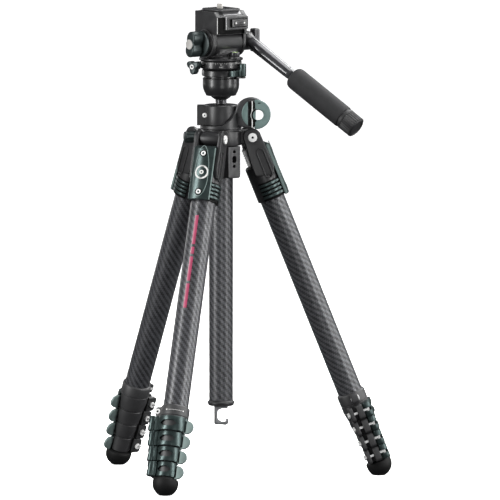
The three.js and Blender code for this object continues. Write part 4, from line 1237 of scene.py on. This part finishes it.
def build_plate_clamp():
    profile = rounded([
        (-17.5, 447, 0.8), (17.5, 447, 0.8), (17.5, 465, 0.6), (12.5, 470, 0.6), (-17.5, 470, 1),
    ], 4)
    shells = [slab(profile, -19.3, 19.3, bevel=0.35, axis="y")]
    cheek = arc(0, TILT_Z, 14.6, 180, 360, 48) + [(14.6, 448), (-14.6, 448)]
    shells.append(slab(cheek, -21.4, -17.1, bevel=0.6, axis="y"))
    shells.append(slab(cheek, 17.1, 20.6, bevel=0.6, axis="y"))
    shells.append(tilt_rod(12.4, -22.8, -21.2, 0.4, 5.3, 96))
    shells.append(tilt_rod(13.6, -21.9, -21.2, 0.2, 12.9, 96))
    shells.append(tilt_rod(9.5, 20.4, 22, 0.3, 5.3, 72))
    frame_outline = rounded([(-7.5, 452, 0.6), (19.3, 452, 0.6), (19.3, 464.6, 0.6), (-7.5, 464.6, 0.6)])
    pocket = rectangle(-5.8, 17.6, 454.2, 462.6, 0.8)
    shells.append(slab(frame_outline, 16.5, 19.5, [pocket], 0.45, "x"))
    shells.append(slab(rectangle(-9.2, -6.6, 452, 464.8, 0.6), 16.5, 19.1, (), 0.5, "x", 1))
    drum = tilt_rod(14.6, -17.1, 17.1, 0.05, 0, 96)
    axle = tilt_rod(5.3, -40, 40, 0.05, 0, 48)
    undercut = slab(rectangle(-16.2, 16.2, 440, 451.6, 1.2), 14.6, 24, (), 0.05, "x")
    groove = slab(
        [(-14.2, 465.9), (14.2, 465.9), (12.9, 471), (-12.9, 471)], -30, 30, bevel=0.02, axis="x"
    )
    piece(
        "plate_clamp_block", shells, [CAST, MACHINED], HEAD, "tilt_top", ["plate_clamp"],
        cuts=[drum, axle, groove, undercut],
    )
    # A dark sheet in the undercut over the drum: painted shadow of the block above the drum.
    shadow_sheet = slab(rectangle(-16.1, 16.1, 447.3, 451.5, 0.4), 10, 15.2, (), 0.1, "x")
    piece("plate_clamp_painted_shadow", [shadow_sheet], [DARK], HEAD, "tilt_top", cuts=[drum])
    panel = slab(rectangle(-18.2, -9.4, 448.6, 464.6, 0.4), 17.2, 17.62, bevel=0.1, axis="x")
    piece("plate_clamp_panel", [panel], [DARK], HEAD, "tilt_top")
    edge = [slab(rectangle(-19.1, -18.4, 448.4, 464.6, 0.3), 17.1, 17.72, bevel=0.15, axis="x")]
    piece("plate_clamp_edge", edge, [BARE_EDGE], HEAD, "tilt_top")
    chamfer = moved(
        block(-2.6, 2.6, 14.3, 18.2, -0.12, 0.12, 0.1), shift(15.02, 0, 467.52) @ spin(45, "Y")
    )
    piece("plate_clamp_chamfer", [chamfer], [PLATE], HEAD, "tilt_top")
    lines = [
        washer((0, TILT_Z), r, r - 0.3, y, y + 0.25, 0.06, "y", steps=96)
        for r, y in ((11.2, -22.95), (14.0, -21.55))
    ]
    piece("tilt_collar_lines", lines, [MACHINED], HEAD, "tilt_top")


def build_button():
    bar = slab(rectangle(-1.6, 17.2, 454.6, 462.2, 0.7), 17.2, 20.1, bevel=0.4, axis="x")
    ridge = slab(rectangle(1, 14.6, 456.2, 460.6, 0.8), 19.5, 21.1, bevel=0.5, axis="x")
    dots = [slab(circle(y, 458.4, 0.9, 24), 20.9, 21.35, bevel=0.15, axis="x", mat=1) for y in (2.6, 13)]
    piece(
        "plate_lock_slider", [bar, ridge, *dots], [SATIN, WHITE], HEAD, "plate_lock_button",
        ["plate_lock_button"],
    )


def build_camera_plate():
    tongue = slab(
        [(-13.8, 466.2), (13.8, 466.2), (12.6, 470.4), (-12.6, 470.4)], -16.5, 16.5, bevel=0.15, axis="x"
    )
    pad = slab(
        rounded([(-15, -15, 5.5), (15, -15, 5.5), (15, 15, 5.5), (-15, 15, 5.5)], 8), 470.3, 472.2,
        bevel=0.5
    )
    shells = [tongue, pad]
    for i in range(9):
        y = -12 + 3 * i
        if abs(y - SCREW_AT[1]) < 5.2:
            for x0, x1 in ((-13, -7.5), (7.5, 13)):
                shells.append(block(x0, x1, y - 0.8, y + 0.8, 472.0, 472.6, 0.25, 1))
        else:
            shells.append(block(-13, 13, y - 0.8, y + 0.8, 472.0, 472.6, 0.25, 1))
    shank = rod(3.5, 460, 480, SCREW_AT, "z", 0.05)
    recess = rod(7.4, 460, 469.2, SCREW_AT, "z", 0.05)
    slope = slab([(17, 465.5), (17, 470.28), (12.2, 470.28)], -20, 20, bevel=0.02, axis="y")
    piece(
        "camera_plate_body", shells, [PLATE, CAP_RUBBER], HEAD, "camera_plate", ["camera_plate"],
        cuts=[shank, recess, slope],
    )
    chamfer = moved(block(-2.2, 2.2, -9, 13.4, -0.12, 0.12, 0.1), shift(14.6, 0, 467.9) @ spin(45, "Y"))
    piece("camera_plate_chamfer", [chamfer], [MACHINED], HEAD, "camera_plate")
    thread = [(0, 466.7), (7.1, 466.7), (7.1, 468.7), (3.1, 468.8), (3.1, 471)]
    z = 471
    while z < 476.2:
        thread += [(3.1, z), (2.65, z + 0.32), (3.1, z + 0.64)]
        z += 0.64
    thread += [(2.6, 476.9), (0, 476.9)]
    piece(
        "camera_screw_thread", [moved(lathe(thread, 48), shift(*SCREW_AT))], [SILVER], HEAD,
        "camera_screw",
        ["camera_screw"],
    )


def build_handle():
    place = HEAD @ shift(5.5, 30, 439.6) @ spin(21.5) @ spin(90 + 33.7, "Y")
    elbow = lathe([(0, -3), (6.4, -3), (6.7, -2.4), (6.7, 3.6), (6.4, 4.4), (6.2, 4.8), (0, 4.8)], 64)
    rosette = moved(
        lathe([(2.9, 22.6), (9, 22.6), (9.5, 23.1), (9.5, 35), (8.9, 36), (2.9, 36)], 72),
        shift(0, 0, TILT_Z) @ Matrix(((1, 0, 0, 0), (0, 0, 1, 0), (0, 1, 0, 0), (0, 0, 0, 1))),
    )
    piece("handle_rosette", [rosette], [SATIN], HEAD, "handle", ["handle_arm"])
    piece("handle_elbow", [elbow], [SATIN], place, "handle", ["handle_arm"])
    rod_profile = [
        (0, 4.4), (6.2, 4.4), (6.4, 4.9), (6.3, 21), (6.2, 22.4), (5.75, 55), (5.4, 55.4),
        (5.4, 56.2), (5.7, 56.6), (5.6, 58.6), (4.2, 62), (4, 62), (4, 128), (0, 128),
    ]
    piece(
        "handle_rod", [lathe(rod_profile, 64)], [HANDLE_GREY], place, "handle", ["handle_arm"],
    )
    foam = lathe([
        (4.3, 62.3), (7.6, 62.3), (9.2, 62.9), (10.5, 64.2), (11.2, 66), (11.5, 68.4), (11.5, 130.6),
        (11.2, 131.6),
        (10.5, 132.1), (4.3, 132.1),
    ], 96)
    piece("handle_foam", [foam], [FOAM], place, "handle", ["handle_grip"])
    shells = [
        lathe([(0, 132), (10.2, 132), (10.2, 134.2), (0, 134.2)], 64),
        lathe([(0, 134), (10.9, 134), (11.1, 134.4), (11.1, 135.8), (10.9, 136.2), (0, 136.2)], 96),
        slab(lobed(10.75, 0.28, 28, 168), 136, 149.4, bevel=0.5),
        lathe([(0, 149), (10.1, 149), (9.3, 150.1), (7.8, 150.3), (7.4, 149.7), (0, 149.7)], 96),
    ]
    piece("handle_end_cap", shells, [CAP_RUBBER], place, "handle", ["handle_grip"])
    bar = slab(rectangle(-4.2, 4.2, TILT_Z - 11.6, TILT_Z + 11.6, 1.8, 6), 40.2, 47, bevel=1.0, axis="y")
    shells = [
        bar,
        tilt_rod(4, 36.4, 40.6, 0.3),
        tilt_rod(2.6, 25.6, 37.6, 0.2),
        tilt_rod(2.4, 46.8, 47.3, 0.2),
    ]
    piece(
        "handle_clamp_bar", shells, [BOSS], HEAD, "handle_clamp_knob", ["handle_clamp_knob"]
    )


build_crown()
build_lock_lever()
build_lock_highlight()
build_column_head()
build_crown_knob()
build_bracket()
build_column()
build_ball()
build_pan_base()
build_pan_lock()
build_head_body()
build_tilt_knob()
build_plate_clamp()
build_button()
build_camera_plate()
build_handle()
